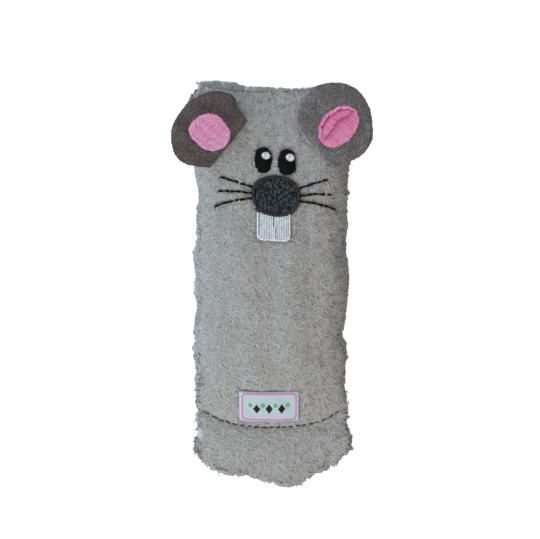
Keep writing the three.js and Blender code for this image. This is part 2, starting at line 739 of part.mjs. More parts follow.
const mouse = new THREE.Group();
mouse.add(
  piece("body_sleeve", bodySleeve(), plush),
  piece("cuff_sleeve", cuffSleeve(), plush),
  piece("toe_seam_thread", toeSeamThread(), oliveThread),
  piece("closing_stitch_front", closingStitch(1), greyThread),
  piece("closing_stitch_back", closingStitch(-1), greyThread),
  piece("nose_patch", nosePatch(), noseCloth),
  piece("nose_border", noseBorder(), blackThread),
  piece("label", label(), satin),
  piece("stuffing_front", stuffing(1), fibre),
  piece("stuffing_back", stuffing(-1), fibre),
  piece("sachet_front", sachetSheet(1), nonwoven),
  piece("sachet_back", sachetSheet(-1), nonwoven),
  piece("catnip_fill", catnipFill(), herb),
  piece("face_backing", faceBacking(), nonwoven),
);
for (const [side, name] of [[-1, "left"], [1, "right"]]) {
  mouse.add(piece(name + "_eye", eye(side), blackThread));
  mouse.add(piece(name + "_eye_highlight", eyeHighlight(side), whiteThread));
  mouse.add(piece(name + "_tooth", tooth(side), whiteThread));
  mouse.add(piece(name + "_tooth_border", toothBorder(side), whiteThread));
  mouse.add(piece("label_stitch_" + name, labelStitch(side), whiteThread));
  mouse.add(piece(name + "_ear_seam", earSeam(side), velour));
}
for (const each of WHISKERS) mouse.add(piece(each.name, whisker(each), blackThread));
mouse.add(ear(-1, "left_ear", LEFT_EAR_LIFT));
mouse.add(ear(1, "right_ear", RIGHT_EAR_LIFT));

export default mouse;
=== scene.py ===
# %% [markdown]
# # A catnip mouse
# The toy is a plush tube, stuffed flat, with velour ears, an embroidered face and a ribbon label. The
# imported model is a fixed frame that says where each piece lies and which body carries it. Every piece below
# is made in that frame: sizes are written in millimetres and turned into metres when a mesh is made.

# %% The frame
import json
import math

import bpy
import numpy as np
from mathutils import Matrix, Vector


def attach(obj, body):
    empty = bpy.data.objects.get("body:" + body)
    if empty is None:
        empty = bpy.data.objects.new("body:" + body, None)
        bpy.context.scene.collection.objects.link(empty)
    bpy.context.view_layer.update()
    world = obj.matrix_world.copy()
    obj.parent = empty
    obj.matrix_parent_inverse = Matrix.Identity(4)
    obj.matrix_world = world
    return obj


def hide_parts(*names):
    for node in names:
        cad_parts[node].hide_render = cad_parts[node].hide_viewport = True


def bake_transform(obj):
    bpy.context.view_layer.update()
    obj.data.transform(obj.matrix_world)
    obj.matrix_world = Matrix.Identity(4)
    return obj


MM = 0.001
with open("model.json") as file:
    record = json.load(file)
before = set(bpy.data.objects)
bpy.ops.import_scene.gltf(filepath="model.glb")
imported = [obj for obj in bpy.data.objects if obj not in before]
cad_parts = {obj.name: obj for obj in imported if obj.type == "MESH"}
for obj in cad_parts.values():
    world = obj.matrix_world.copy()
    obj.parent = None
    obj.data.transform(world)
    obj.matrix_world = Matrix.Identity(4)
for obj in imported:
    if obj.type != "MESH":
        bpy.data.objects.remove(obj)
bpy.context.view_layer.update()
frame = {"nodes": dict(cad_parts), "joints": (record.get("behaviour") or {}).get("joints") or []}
scene = bpy.context.scene

# %% [markdown]
# ## Camera
# The picture looks straight down on the toy through a long lens, so the sides of the tube hardly show. A
# camera with no rotation looks down the Z axis with Y up, so only its place has to be worked out.

# %% Camera above the toy
LENS = 135
SENSOR = 36
VIEW_WIDTH = 270  # what the picture spans at the toy's half height
VIEW_PLANE = 14  # that half height
VIEW_X, VIEW_Y = -1, 7.75

camera = bpy.data.objects.new("camera", bpy.data.cameras.new("camera"))
camera.data.lens = LENS
camera.data.sensor_width = SENSOR
camera.location = (VIEW_X * MM, VIEW_Y * MM, (VIEW_PLANE + VIEW_WIDTH * LENS / SENSOR) * MM)
scene.collection.objects.link(camera)
scene.camera = camera
print("camera height:", round(camera.location.z, 3), "m")

# %% [markdown]
# ## Light
# A large soft lamp stands near, above the lower left of the toy. A blue window, low at the left, and a
# paler sky, low beyond the toe, cool the shadows, and the right side falls off a little. The Standard view
# keeps the colours as they are set.

# %% Lamps and world
LAMPS = {  # place in metres, size, power and colour
    "key": ((-0.28, -0.48, 0.66), 1.0, 5.8, (1, 0.985, 0.975)),
    "window": ((-1.05, -0.25, 0.2), 1.2, 6.6, (0.33, 0.76, 1)),
    "sky": ((-0.35, 1.0, 0.2), 0.8, 7.2, (0.68, 0.88, 1)),
}
WORLD_COLOUR = (1, 0.99, 0.97, 1)
WORLD_STRENGTH = 0.34

scene.view_settings.view_transform = "Standard"
world = bpy.data.worlds.new("studio")
scene.world = world
world.use_nodes = True
world.node_tree.nodes["Background"].inputs["Color"].default_value = WORLD_COLOUR
world.node_tree.nodes["Background"].inputs["Strength"].default_value = WORLD_STRENGTH


def soft_lamp(name, place, size, power, colour):
    """A square lamp that faces the middle of the toy."""
    lamp = bpy.data.objects.new(name, bpy.data.lights.new(name, "AREA"))
    lamp.data.size = size
    lamp.data.energy = power
    lamp.data.color = colour
    lamp.location = place
    lamp.rotation_euler = (-Vector(place)).to_track_quat("-Z", "Y").to_euler()
    lamp.visible_camera = False
    scene.collection.objects.link(lamp)


for name, lamp in LAMPS.items():
    soft_lamp(name, *lamp)
    print(name, "lamp at", lamp[0])

# %% [markdown]
# ## Writing nodes as sums
# Finishes and geometry trees both need many small nodes. A wire stands for one output of a node, and sums
# of wires and numbers add Math nodes, so a formula reads as it would on paper.


# %% Wires
class Wire:
    """One output of a node. Arithmetic on wires and numbers adds Math nodes."""

    def __init__(self, graph, socket):
        self.graph = graph
        self.socket = socket

    def other(self, output):
        return Wire(self.graph, self.socket.node.outputs[output])

    def math(self, operation, *values):
        return self.graph.node("ShaderNodeMath", {"operation": operation}, dict(enumerate(values)))

    def __add__(self, value):
        return self.math("ADD", self, value)

    def __radd__(self, value):
        return self.math("ADD", value, self)

    def __sub__(self, value):
        return self.math("SUBTRACT", self, value)

    def __rsub__(self, value):
        return self.math("SUBTRACT", value, self)

    def __mul__(self, value):
        return self.math("MULTIPLY", self, value)

    def __rmul__(self, value):
        return self.math("MULTIPLY", value, self)

    def __truediv__(self, value):
        return self.math("DIVIDE", self, value)

    def __rtruediv__(self, value):
        return self.math("DIVIDE", value, self)

    def __pow__(self, value):
        return self.math("POWER", self, value)

    def __abs__(self):
        return self.math("ABSOLUTE", self)

    def smooth(self, low, high):
        """0 below low, 1 above high and a soft step between."""
        settings = {"interpolation_type": "SMOOTHSTEP"}
        return self.graph.node("ShaderNodeMapRange", settings, {0: self, 1: low, 2: high, 3: 0.0, 4: 1.0})


# %% [markdown]
# A graph is a node tree under construction. One method adds any node, sets it and feeds its inputs with
# wires or with plain values.


# %% Graphs
class Graph:
    """A node tree under construction."""

    def __init__(self, tree):
        self.tree = tree

    def node(self, kind, settings=None, inputs=None, output=0):
        made = self.tree.nodes.new(kind)
        for name, value in (settings or {}).items():
            setattr(made, name, value)
        for key, value in (inputs or {}).items():
            for each in value if isinstance(value, list) else [value]:
                self.feed(made.inputs[key], each)
        return Wire(self, made.outputs[output] if made.outputs else None)

    def feed(self, socket, value):
        if isinstance(value, Wire):
            self.tree.links.new(value.socket, socket)
        else:
            socket.default_value = value

    def vector(self, operation, *values):
        return self.node("ShaderNodeVectorMath", {"operation": operation}, dict(enumerate(values)))

    def mixed(self, share, first, second):
        inputs = {"Factor": share, 6: first, 7: second}
        return self.node("ShaderNodeMix", {"data_type": "RGBA"}, inputs, output=2)


# %% [markdown]
# A finish is the graph of one material. Colours are written as they look on a display, from 0 to 255. The
# patterns of pieces that are sewn or grown read the piece's own map, called OFBake.


# %% Finishes
def paint(red, green, blue):
    """A display colour from 0 to 255 as the linear colour that sockets take."""
    shares = [value / 255 for value in (red, green, blue)]
    return (*(s / 12.92 if s <= 0.04045 else ((s + 0.055) / 1.055) ** 2.4 for s in shares), 1)


class Finish(Graph):
    """A material with one Principled shader. Constants go straight onto its sockets."""

    def __init__(self, name, **constants):
        self.material = bpy.data.materials.new(name)
        self.material.use_nodes = True
        super().__init__(self.material.node_tree)
        self.shader = self.tree.nodes["Principled BSDF"]
        for key, value in constants.items():
            self.shader.inputs[key.replace("_", " ")].default_value = value

    def drive(self, socket, wire):
        self.feed(self.shader.inputs[socket], wire)

    def place(self):
        return self.node("ShaderNodeTexCoord", output="Object")

    def noise(self, where, size, detail=2.0):
        inputs = {"Vector": where, "Scale": 1 / (size * MM), "Detail": detail}
        return self.node("ShaderNodeTexNoise", None, inputs)

    def bump(self, height, depth):
        """Normals from a height from 0 to 1 that stands for a depth in millimetres."""
        inputs = {"Height": height, "Distance": depth * MM, "Strength": 1.0}
        self.drive("Normal", self.node("ShaderNodeBump", None, inputs))

    def own_map(self):
        """The two coordinates of the piece's own map, as wires."""
        point = self.node("ShaderNodeUVMap", {"uv_map": "OFBake"})
        split = self.node("ShaderNodeSeparateXYZ", None, {0: point})
        return split, split.other(1)


print("mid grey on a socket:", round(paint(128, 128, 128)[0], 3))

# %% [markdown]
# ## White sheet
# The toy lies on a white sheet. The sheet glows a little, so that it stays white round the toy, and it
# throws no light back onto it.

# %% Floor
FLOOR_HALF = 2.5
FLOOR_GRAIN = 60
FLOOR_CORNERS = [(-1, -1), (1, -1), (1, 1), (-1, 1)]

floor_finish = Finish("white_sheet", Roughness=0.9, Emission_Color=(0.88, 0.96, 1, 1), Emission_Strength=0.8)
floor_grain = floor_finish.noise(floor_finish.place(), FLOOR_GRAIN)
floor_finish.drive("Base Color", floor_finish.mixed(floor_grain, paint(246, 247, 247), paint(250, 250, 250)))

floor_mesh = bpy.data.meshes.new("floor")
floor_points = [(FLOOR_HALF * side_x, FLOOR_HALF * side_y, 0) for side_x, side_y in FLOOR_CORNERS]
floor_mesh.from_pydata(floor_points, [], [(0, 1, 2, 3)])
floor_mesh.materials.append(floor_finish.material)
floor = bpy.data.objects.new("floor", floor_mesh)
scene.collection.objects.link(floor)
floor.visible_diffuse = False
print("white sheet:", 2 * FLOOR_HALF, "m wide")

# %% [markdown]
# ## The tube's shape
# The sleeve is a stack of cross-sections: wide and full in the middle, pinched flat at the toe seam and at
# the closing stitch. The cuff goes on below the stitch and stays open. The rules here are the same ones
# that the solids follow, so whatever is laid on the tube lands where its solid is.

# %% Rules of the tube
BODY_WIDTH = 76
BODY_LENGTH = 170
BODY_BELOW_ORIGIN = 71.7
BODY_RISE = 15.5
SIDE_HEIGHT = 11.5
FLAT_CUT = 0.5
SHOULDER_WIDTH = 85
TOE_WIDTH = 71
TOE_CORNER_RISE = 3
CLOSING_WIDTH = 74
CLOSING_RISE = 10
CLOSING_POWER = 2.6
SEAM_HEIGHT = 6
SEAM_HALF = 0.55
PLUSH = 2.4
SEAM_PLUSH = 0.4
FRONT_POWER = 2.4
BACK_POWER = 3.2
SWELL_POWER = 2.4
SWELL_EDGE = 0.8
CUFF_WIDTH = 79
CUFF_LENGTH = 26
CUFF_RISE = 4.6
CUFF_SWELL = 2.2
CUFF_PUFF = 2.6
CUFF_DROOP = 0.5
HEM_CORNER_RISE = 17.5
HEM_POWER = 3.4
HEM_SAG = 3.5
HEM_SAG_X = 8
HEM_SAG_WIDTH = 8
CREASE_HALF = 0.8
GAP = 0.3  # between pieces that are laid on each other

closing_middle = -BODY_BELOW_ORIGIN
toe_middle = BODY_LENGTH - BODY_BELOW_ORIGIN
neck_width = (BODY_WIDTH + SHOULDER_WIDTH) / 2
WIDTH_STATIONS = np.array([0, 0.2, 0.66, 0.78, 0.94, 1])
half_widths = np.array([CLOSING_WIDTH, BODY_WIDTH, BODY_WIDTH, neck_width, SHOULDER_WIDTH, TOE_WIDTH]) / 2


def mix(first, second, share):
    return first + (second - first) * share


def soft_step(value, low, high):
    share = np.clip((value - low) / (high - low), 0, 1)
    return share * share * (3 - 2 * share)


def signed_power(value, power):
    return np.sign(value) * np.abs(value) ** power


def half_width(t):
    """A smooth curve through the half widths at their stations."""
    slopes = np.gradient(half_widths, WIDTH_STATIONS)
    slopes[:3] = 0
    k = np.clip(np.searchsorted(WIDTH_STATIONS, t, side="right") - 1, 0, len(WIDTH_STATIONS) - 2)
    step = WIDTH_STATIONS[k + 1] - WIDTH_STATIONS[k]
    s = (t - WIDTH_STATIONS[k]) / step
    rise = s * s * (3 - 2 * s)
    bend = step * (slopes[k] * s * (1 - s) ** 2 - slopes[k + 1] * s * s * (1 - s))
    return mix(half_widths[k], half_widths[k + 1], rise) + bend


def closing_line(x):
    return closing_middle + CLOSING_RISE * np.abs(2 * x / CLOSING_WIDTH) ** CLOSING_POWER


def toe_line(x):
    return toe_middle + TOE_CORNER_RISE * (2 * x / TOE_WIDTH) ** 2


def hem_line(x):
    corner = HEM_CORNER_RISE * np.abs(2 * x / CUFF_WIDTH) ** HEM_POWER
    return closing_middle - CUFF_LENGTH + corner - HEM_SAG * np.exp(-(((x - HEM_SAG_X) / HEM_SAG_WIDTH) ** 2))


def sleeve_section(t):
    """Half width, swell to the front and the back, side line and cloth at a share of the sleeve's length."""
    swell = np.maximum(0, 1 - np.abs(2 * t - 1) ** SWELL_POWER) ** SWELL_EDGE
    front = mix(SEAM_HALF, BODY_RISE, swell)
    back = mix(SEAM_HALF, SIDE_HEIGHT + FLAT_CUT, swell)
    return half_width(t), front, back, mix(SEAM_HEIGHT, SIDE_HEIGHT, swell), mix(SEAM_PLUSH, PLUSH, swell)


def cuff_section(t):
    swell = 1 - (1 - t) ** CUFF_SWELL
    front = mix(SEAM_HALF, CUFF_RISE, 1 - (1 - t) ** CUFF_PUFF) * (1 - CUFF_DROOP * t * t)
    back = mix(SEAM_HALF, SEAM_HEIGHT + FLAT_CUT, swell)
    return mix(CLOSING_WIDTH, CUFF_WIDTH, t) / 2, front, back, SEAM_HEIGHT, mix(SEAM_PLUSH, PLUSH, swell)


def front_height(x, y):
    start = closing_line(x) + CREASE_HALF
    t = np.clip((y - start) / (toe_line(x) - start), 0, 1)
    half, front, _, side, _ = sleeve_section(t)
    across = np.minimum(1, np.abs(x) / half)
    return side + front * (1 - across**FRONT_POWER) ** (1 / FRONT_POWER)


SLOPE_STEP = 0.3


def on_front(points, lift):
    """Points in plan, held off the sleeve's front along its normal."""
    x, y = np.asarray(points, float).T
    slope_x = (front_height(x + SLOPE_STEP, y) - front_height(x - SLOPE_STEP, y)) / (2 * SLOPE_STEP)
    slope_y = (front_height(x, y + SLOPE_STEP) - front_height(x, y - SLOPE_STEP)) / (2 * SLOPE_STEP)
    normal = np.stack([-slope_x, -slope_y, np.ones_like(x)], axis=1)
    normal /= np.linalg.norm(normal, axis=1, keepdims=True)
    return np.stack([x, y, front_height(x, y)], axis=1) + normal * np.reshape(lift, (-1, 1))


middle_height = front_height(np.array(0.0), np.array(14.0))
print("front height at the middle:", round(float(middle_height), 2), "mm")

# %% [markdown]
# ## Plush skin
# The knitted ground of the plush is one tube: down the sleeve, through the crease at the closing stitch,
# along the cuff, round its hem and back up inside. It is laid out as rings of points, so it could be a loft
# of curves, but a plain grid makes it easy to say later which part of it grows pile.

# %% Rings of the skin
AROUND = 168
SLEEVE_ROWS = 150
CUFF_ROWS = 26
LINING_ROWS = 12
PILE_SHARE = 0.58  # of the plush's thickness, the rest is ground
HEM_PILE = 1.4  # the ground ends this far above the hem
ANGLES = 4001  # fine steps round the tube, from which even ones are picked

dense = np.linspace(0, 2 * math.pi, ANGLES)
dense_power = np.where(np.sin(dense) >= 0, FRONT_POWER, BACK_POWER)
dense_x = BODY_WIDTH / 2 * signed_power(np.cos(dense), 2 / dense_power)
dense_z = SIDE_HEIGHT * signed_power(np.sin(dense), 2 / dense_power)
run = np.concatenate([[0], np.cumsum(np.hypot(np.diff(dense_x), np.diff(dense_z)))])
around_angles = np.interp(np.arange(AROUND) / AROUND * run[-1], run, dense)
rising = np.sin(around_angles) >= 0


def skin_ring(section, inset, y_at):
    half, front, back, side, _ = section
    power = np.where(rising, FRONT_POWER, BACK_POWER)
    swell = np.where(rising, front, back) - inset
    x = (half - inset) * signed_power(np.cos(around_angles), 2 / power)
    z = side + swell * signed_power(np.sin(around_angles), 2 / power)
    return np.stack([x, y_at(x), np.maximum(z, inset)], axis=1)


def sleeve_ring(t):
    section = sleeve_section(t)

    def y_at(x):
        return mix(closing_line(x) + CREASE_HALF, toe_line(x), t)

    return skin_ring(section, PILE_SHARE * section[4], y_at)


def cuff_ring(t, inset_share):
    section = cuff_section(t)

    def y_at(x):
        return mix(closing_line(x) - CREASE_HALF, hem_line(x) + HEM_PILE, t)

    return skin_ring(section, inset_share * section[4], y_at)


rings = [sleeve_ring((1 + math.cos(math.pi * k / SLEEVE_ROWS)) / 2) for k in range(SLEEVE_ROWS + 1)]
rings += [cuff_ring(k / CUFF_ROWS, PILE_SHARE) for k in range(CUFF_ROWS + 1)]
hem_row = len(rings)
rings += [cuff_ring(1 - k / LINING_ROWS, 1.0) for k in range(LINING_ROWS + 1)]
skin_grid = np.array(rings)
print("skin rings:", skin_grid.shape)

# %% [markdown]
# Cloth over loose stuffing is never even. Soft lumps and the bulges and dents that show at the sides are
# pressed into the grid along the skin's own normals, away from the seams, where the cloth is held. The hem
# hangs in uneven waves, and the left end of the toe stands up in a hump.

# %% Lumps and dents
LUMP_DEPTH = 0.45
LUMP_SIZE = 24
SIDE_PUSHES = [  # x, y, reach and push of the bulges and dents along the two sides
    (-43, 92, 6, -1.8),
    (-38, 14, 8, 2.2),
    (-38, -4, 6, 1.7),
    (-38, -25, 12, 0.7),
    (-38, -52, 12, 1.2),
    (-38, -72, 5, -2.6),
    (38, 25, 7, -1.3),
    (38, 3, 8, 0.9),
    (37, -25, 7, -3.2),
    (38, -45, 9, -1.2),
    (38, -66, 4, -1.4),
    (39, -76, 5, 1.6),
]
HEM_DROPS = [  # x, reach and drop of the waves of the hem
    (-37, 7, 2.4),
    (-28, 8, 1.2),
    (-12, 5, -1.8),
    (-1, 8, 1.2),
    (14.5, 3.5, 1.6),
    (34, 4, 1.4),
]
TOE_HUMP = 2.1
TOE_HUMP_RISE = (-41, -26)  # from where to where it rises
TOE_HUMP_FALL = (-20, -11)
TOE_HUMP_TAIL = (-4, 12)
TOE_FALL_SHARE, TOE_TAIL_SHARE = 0.6, 0.4
TOE_CORNER = 3.2  # how far the left corner of the toe spreads
TOE_CORNER_SPAN = (22, 35)
TOE_HUMP_FROM = 0.985  # the share of the sleeve's length above which the hump lifts the cloth
SEAM_HOLD = 0.7  # the lower, the nearer to the seams the lumps reach
LOWEST = 0.5  # the ground stays this far above the table


def waves(points, size, count, seed):
    """A soft uneven field, from waves in random directions."""
    random = np.random.default_rng(seed)
    direction = random.normal(size=(count, 3))
    direction *= 2 * math.pi / size / np.linalg.norm(direction, axis=1, keepdims=True)
    direction *= random.uniform(0.6, 1.5, size=(count, 1))
    field = np.cos(points @ direction.T + random.uniform(0, 2 * math.pi, count))
    return field.sum(axis=-1) / math.sqrt(count / 2)


along_rows = np.roll(skin_grid, -1, axis=0) - np.roll(skin_grid, 1, axis=0)
along_rows[0] = skin_grid[1] - skin_grid[0]
along_rows[-1] = skin_grid[-1] - skin_grid[-2]
along_ring = np.roll(skin_grid, -1, axis=1) - np.roll(skin_grid, 1, axis=1)
skin_normals = np.cross(along_ring, along_rows)
skin_normals /= np.linalg.norm(skin_normals, axis=2, keepdims=True) + 1e-12

held = np.ones(len(skin_grid))
held[: SLEEVE_ROWS + 1] = np.sin(np.linspace(0, math.pi, SLEEVE_ROWS + 1)) ** SEAM_HOLD
held[SLEEVE_ROWS + 1 : hem_row] = np.linspace(0, 1, CUFF_ROWS + 1)
held[hem_row:] = np.linspace(1, 0, LINING_ROWS + 1)
push = LUMP_DEPTH * waves(skin_grid, LUMP_SIZE, 16, 5)
for push_x, push_y, reach, depth in SIDE_PUSHES:
    away = ((skin_grid[..., 0] - push_x) / reach) ** 2 + ((skin_grid[..., 1] - push_y) / reach) ** 2
    push += depth * np.exp(-away)


def hem_drop(x):
    return sum(drop * np.exp(-(((x - spot) / reach) ** 2)) for spot, reach, drop in HEM_DROPS)


def toe_hump(x):
    falls = TOE_FALL_SHARE * soft_step(x, *TOE_HUMP_FALL)
    tail = TOE_TAIL_SHARE * soft_step(x, *TOE_HUMP_TAIL)
    return TOE_HUMP * soft_step(x, *TOE_HUMP_RISE) * (1 - falls - tail)


row_share = (1 + np.cos(np.linspace(0, math.pi, SLEEVE_ROWS + 1))) / 2
toe_rows = soft_step(row_share, TOE_HUMP_FROM, 1)[:, None]
hem_rows = np.concatenate([np.linspace(0, 1, CUFF_ROWS + 1), np.linspace(1, 0, LINING_ROWS + 1)])[:, None]
toe_end = skin_grid[: SLEEVE_ROWS + 1]
toe_end[..., 1] += toe_rows * toe_hump(toe_end[..., 0])
toe_end[..., 0] -= toe_rows * TOE_CORNER * soft_step(-toe_end[..., 0], *TOE_CORNER_SPAN)
skin_grid[SLEEVE_ROWS + 1 :, :, 1] -= hem_rows**2 * hem_drop(skin_grid[SLEEVE_ROWS + 1 :, :, 0])
skin_grid += skin_normals * (push * held[:, None])[..., None]
skin_grid[..., 2] = np.maximum(skin_grid[..., 2], LOWEST)
print("skin pushed by", round(float(push.min()), 2), "to", round(float(push.max()), 2), "mm")

# %% [markdown]
# The filling presses the skin out between the places where it is sewn. A cloth simulation finds that shape
# on a coarse copy of the sleeve, ten times its size: a light pressure, no gravity and a little spare cloth.
# The copy is held at both seams, under the face and the label, and where it lies on the table.


# %% Pressed skin
def new_object(name, mesh, *materials):
    for material in materials:
        mesh.materials.append(material)
    made = bpy.data.objects.new(name, mesh)
    scene.collection.objects.link(made)
    return made


def new_mesh(name, points, faces=(), edges=()):
    """A smooth mesh from points in millimetres."""
    mesh = bpy.data.meshes.new(name)
    mesh.from_pydata((np.asarray(points, float).reshape(-1, 3) * MM).tolist(), edges, faces)
    mesh.shade_smooth()
    return mesh


COARSE = 3  # every third ring and every third point of it
CLOTH_SCALE = 10
CLOTH_FRAMES = 20
CLOTH_PRESSURE = 3.0
SPARE_CLOTH = 0.02
TABLE_HOLD = 4.0  # the table holds the cloth below this height
HELD_PATCHES = [  # the face and the label, from x to x and from y to y
    (-14, 18, 20, 68),
    (-18, 16, -72, -46),
]

coarse = skin_grid[: SLEEVE_ROWS + 1 : COARSE, ::COARSE]
coarse_rows, coarse_columns = coarse.shape[:2]
numbers = np.arange(coarse_rows * coarse_columns).reshape(coarse_rows, coarse_columns)
onward = np.roll(numbers, -1, axis=1)
quads = np.stack([numbers[:-1], onward[:-1], onward[1:], numbers[1:]], axis=-1).reshape(-1, 4)
cloth_skin = new_object("cloth_skin", new_mesh("cloth_skin", coarse * CLOTH_SCALE, quads.tolist()))
sewn_down = coarse[..., 2] < TABLE_HOLD
sewn_down[[0, 1, -2, -1]] = True
coarse_x, coarse_y = coarse[..., 0], coarse[..., 1]
for left, right, low, high in HELD_PATCHES:
    in_patch = (coarse_x > left) & (coarse_x < right) & (coarse_y > low) & (coarse_y < high)
    sewn_down |= in_patch & rising[::COARSE]
cloth_skin.vertex_groups.new(name="sewn").add(numbers[sewn_down].tolist(), 1.0, "REPLACE")

cloth = cloth_skin.modifiers.new("cloth", "CLOTH")
cloth.settings.vertex_group_mass = "sewn"
cloth.settings.use_pressure = True
cloth.settings.uniform_pressure_force = CLOTH_PRESSURE
cloth.settings.shrink_min = -SPARE_CLOTH
cloth.settings.effector_weights.gravity = 0
cloth.collision_settings.use_collision = False
cloth.point_cache.frame_end = CLOTH_FRAMES
for moment in range(1, CLOTH_FRAMES + 1):
    scene.frame_set(moment)
pressed = np.empty(coarse.size, np.float32)
cloth_skin.evaluated_get(bpy.context.evaluated_depsgraph_get()).data.vertices.foreach_get("co", pressed)
coarse_moves = pressed.reshape(coarse.shape) / (CLOTH_SCALE * MM) - coarse
bpy.data.objects.remove(cloth_skin)
scene.frame_set(1)
raw = np.linalg.norm(coarse_moves, axis=2, keepdims=True) + 1e-9
print("the cloth moved by up to", round(float(raw.max()), 2), "mm, on average", round(float(raw.mean()), 2))

# %% [markdown]
# Free cloth swells further than the toy in the picture, so the moves are capped softly. The fine grid takes
# them over, and points between the coarse ones move by a share of both.

# %% Moves of the fine grid
MOST_MOVE = 0.6

coarse_moves *= MOST_MOVE * np.tanh(raw / MOST_MOVE) / raw
row_at = np.arange(SLEEVE_ROWS + 1) / COARSE
row_before, row_part = row_at.astype(int), (row_at % 1)[:, None, None]
row_after = np.minimum(row_before + 1, coarse_rows - 1)
fine_moves = mix(coarse_moves[row_before], coarse_moves[row_after], row_part)
column_at = np.arange(AROUND) / COARSE
column_before, column_part = column_at.astype(int), (column_at % 1)[None, :, None]
column_after = (column_before + 1) % coarse_columns
fine_moves = mix(fine_moves[:, column_before], fine_moves[:, column_after], column_part)
skin_grid[: SLEEVE_ROWS + 1] += fine_moves
skin_grid[..., 2] = np.maximum(skin_grid[..., 2], LOWEST)
print("the skin follows by up to", round(float(np.abs(fine_moves).max()), 2), "mm along one axis")

# %% [markdown]
# The ground itself is one closed mesh over all rings. Its two ends are pressed flat, so a strip from the
# front half of a ring to its back half shuts each of them.


# %% Plush ground
def ring_quad(k, count, first, second):
    """The quad from point k to the next one between two rings, whose points start at first and at second."""
    beside = (k + 1) % count
    return first + k, first + beside, second + beside, second + k


def grid_faces(first_row, last_row, columns):
    """Quads of the skin's grid, facing out."""
    rows = range(first_row, last_row)
    return [ring_quad(column, AROUND, row * AROUND, (row + 1) * AROUND) for row in rows for column in columns]


def flat_end(row, flipped):
    """The strip that shuts a ring that is pressed flat, from its front half to its back half."""
    start = row * AROUND
    faces = []
    for k in range(AROUND // 2):
        front, back = (k, k + 1), ((AROUND - k) % AROUND, AROUND - k - 1)
        face = [start + front[0], start + front[1], start + back[1], start + back[0]]
        face = list(dict.fromkeys(face))
        if len(face) > 2:
            faces.append(tuple(reversed(face)) if flipped else tuple(face))
    return faces


KNIT_SIZE = 0.9
KNIT_DEPTH = 0.4
ground_finish = Finish("plush_ground", Roughness=0.95, Sheen_Weight=0.2)
knit = ground_finish.noise(ground_finish.place(), KNIT_SIZE, 3.0)
# The ground is painted lighter than the tips of the strands: painted bounce light, so the gaps between
# strands show less shade.
ground_finish.drive("Base Color", ground_finish.mixed(knit, paint(200, 194, 190), paint(214, 208, 205)))
ground_finish.bump(knit, KNIT_DEPTH)

skin_faces = grid_faces(0, len(skin_grid) - 1, range(AROUND))
skin_faces += flat_end(0, True) + flat_end(len(skin_grid) - 1, False)
plush_skin = new_object("plush_skin", new_mesh("plush_skin", skin_grid, skin_faces), ground_finish.material)


def folds(piece):
    """Bakes the piece's place into its mesh."""
    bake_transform(piece)


folds(plush_skin)
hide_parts("body_sleeve", "cuff_sleeve")
print("plush_skin faces:", len(skin_faces))

# %% [markdown]
# ## Where the face and the trim lie
# The pile has to stay off whatever is sewn through it, so the places of the eyes, the nose, the teeth, the
# whiskers, the label and the ears come before it. They are the solids' own sizes again.

# %% Places of the face
NOSE_X = 1.9
NOSE_BELOW_TOE = 54.4
NOSE_WIDTH = 23.8
NOSE_HEIGHT = 20.7
NOSE_POWER = 2.2
NOSE_BORDER = 1.8
EYE_WIDTH = 8.6
EYE_HEIGHT = 12.7
EYE_POWER = 2.5  # 2 makes an oval, and more a squarer shape
EYE_BRIDGE = 3.4
EYES_LEFT_OF_NOSE = 0.4
EYE_ABOVE_NOSE = 1
EYE_SLANT = 0.9
EYE_SINK = 0.7  # the satin sits this much nearer to the nose than its solid
HIGHLIGHT_R = 2.2
HIGHLIGHT_RIGHT = 1.5
HIGHLIGHT_UP = 2.2
TEETH_WIDTH = 16.5
TEETH_DROP = 11.7
TEETH_LEFT_OF_NOSE = 1.1
TEETH_CORNER_R = 3
TOOTH_BORDER = 0.9
LABEL_WIDTH = 30
LABEL_HEIGHT = 15
LABEL_X = -1.4
LABEL_ABOVE_CLOSING = 3.7
TOE_THREAD_INSET = 1.6
WHISKER_FROM_NOSE = 0.6
WHISKER_START = -0.07  # the share of its reach at which a whisker starts, under the nose's border
WHISKERS = {  # side, start and end above the middle of the nose, reach and bow
    "whisker_left_upper": (-1, 4.7, 9.7, 15.4, 0.2),
    "whisker_left_middle": (-1, 1.5, 2.7, 16.1, 0.3),
    "whisker_left_lower": (-1, -1.2, -5, 18, 0.7),
    "whisker_right_upper": (1, 4.1, 8.3, 13.2, 0.2),
    "whisker_right_middle": (1, 0.1, 0.6, 15.3, 0.7),
    "whisker_right_lower": (1, -2.7, -6.5, 17, 0.6),
}
SIDES = {"left": -1, "right": 1}

nose = np.array([NOSE_X, toe_middle - NOSE_BELOW_TOE])
eye_level = nose[1] + NOSE_HEIGHT / 2 + EYE_ABOVE_NOSE + EYE_HEIGHT / 2
eye_apart = (EYE_WIDTH + EYE_BRIDGE) / 2
eyes = {
    "left": np.array([nose[0] - EYES_LEFT_OF_NOSE - eye_apart, eye_level + EYE_SLANT]),
    "right": np.array([nose[0] - EYES_LEFT_OF_NOSE + eye_apart, eye_level]),
}
teeth_x = nose[0] - TEETH_LEFT_OF_NOSE
teeth_bottom = nose[1] - NOSE_HEIGHT / 2 - TEETH_DROP
label_centre = np.array([LABEL_X, closing_middle + LABEL_ABOVE_CLOSING + LABEL_HEIGHT / 2])


def whisker_line(side, start, end, reach, bow, count):
    share = np.linspace(WHISKER_START, 1, count)
    x = nose[0] + side * (NOSE_WIDTH / 2 + WHISKER_FROM_NOSE + reach * share)
    return np.stack([x, nose[1] + mix(start, end, share) + 4 * bow * share * (1 - share)], axis=1)


print("nose at", np.round(nose, 1), "and label at", np.round(label_centre, 1))

# %% [markdown]
# An ear's place comes from the frame: its hinge gives the fold line, and the solids of its two layers give
# the direction in which it grows and the side that it faces.


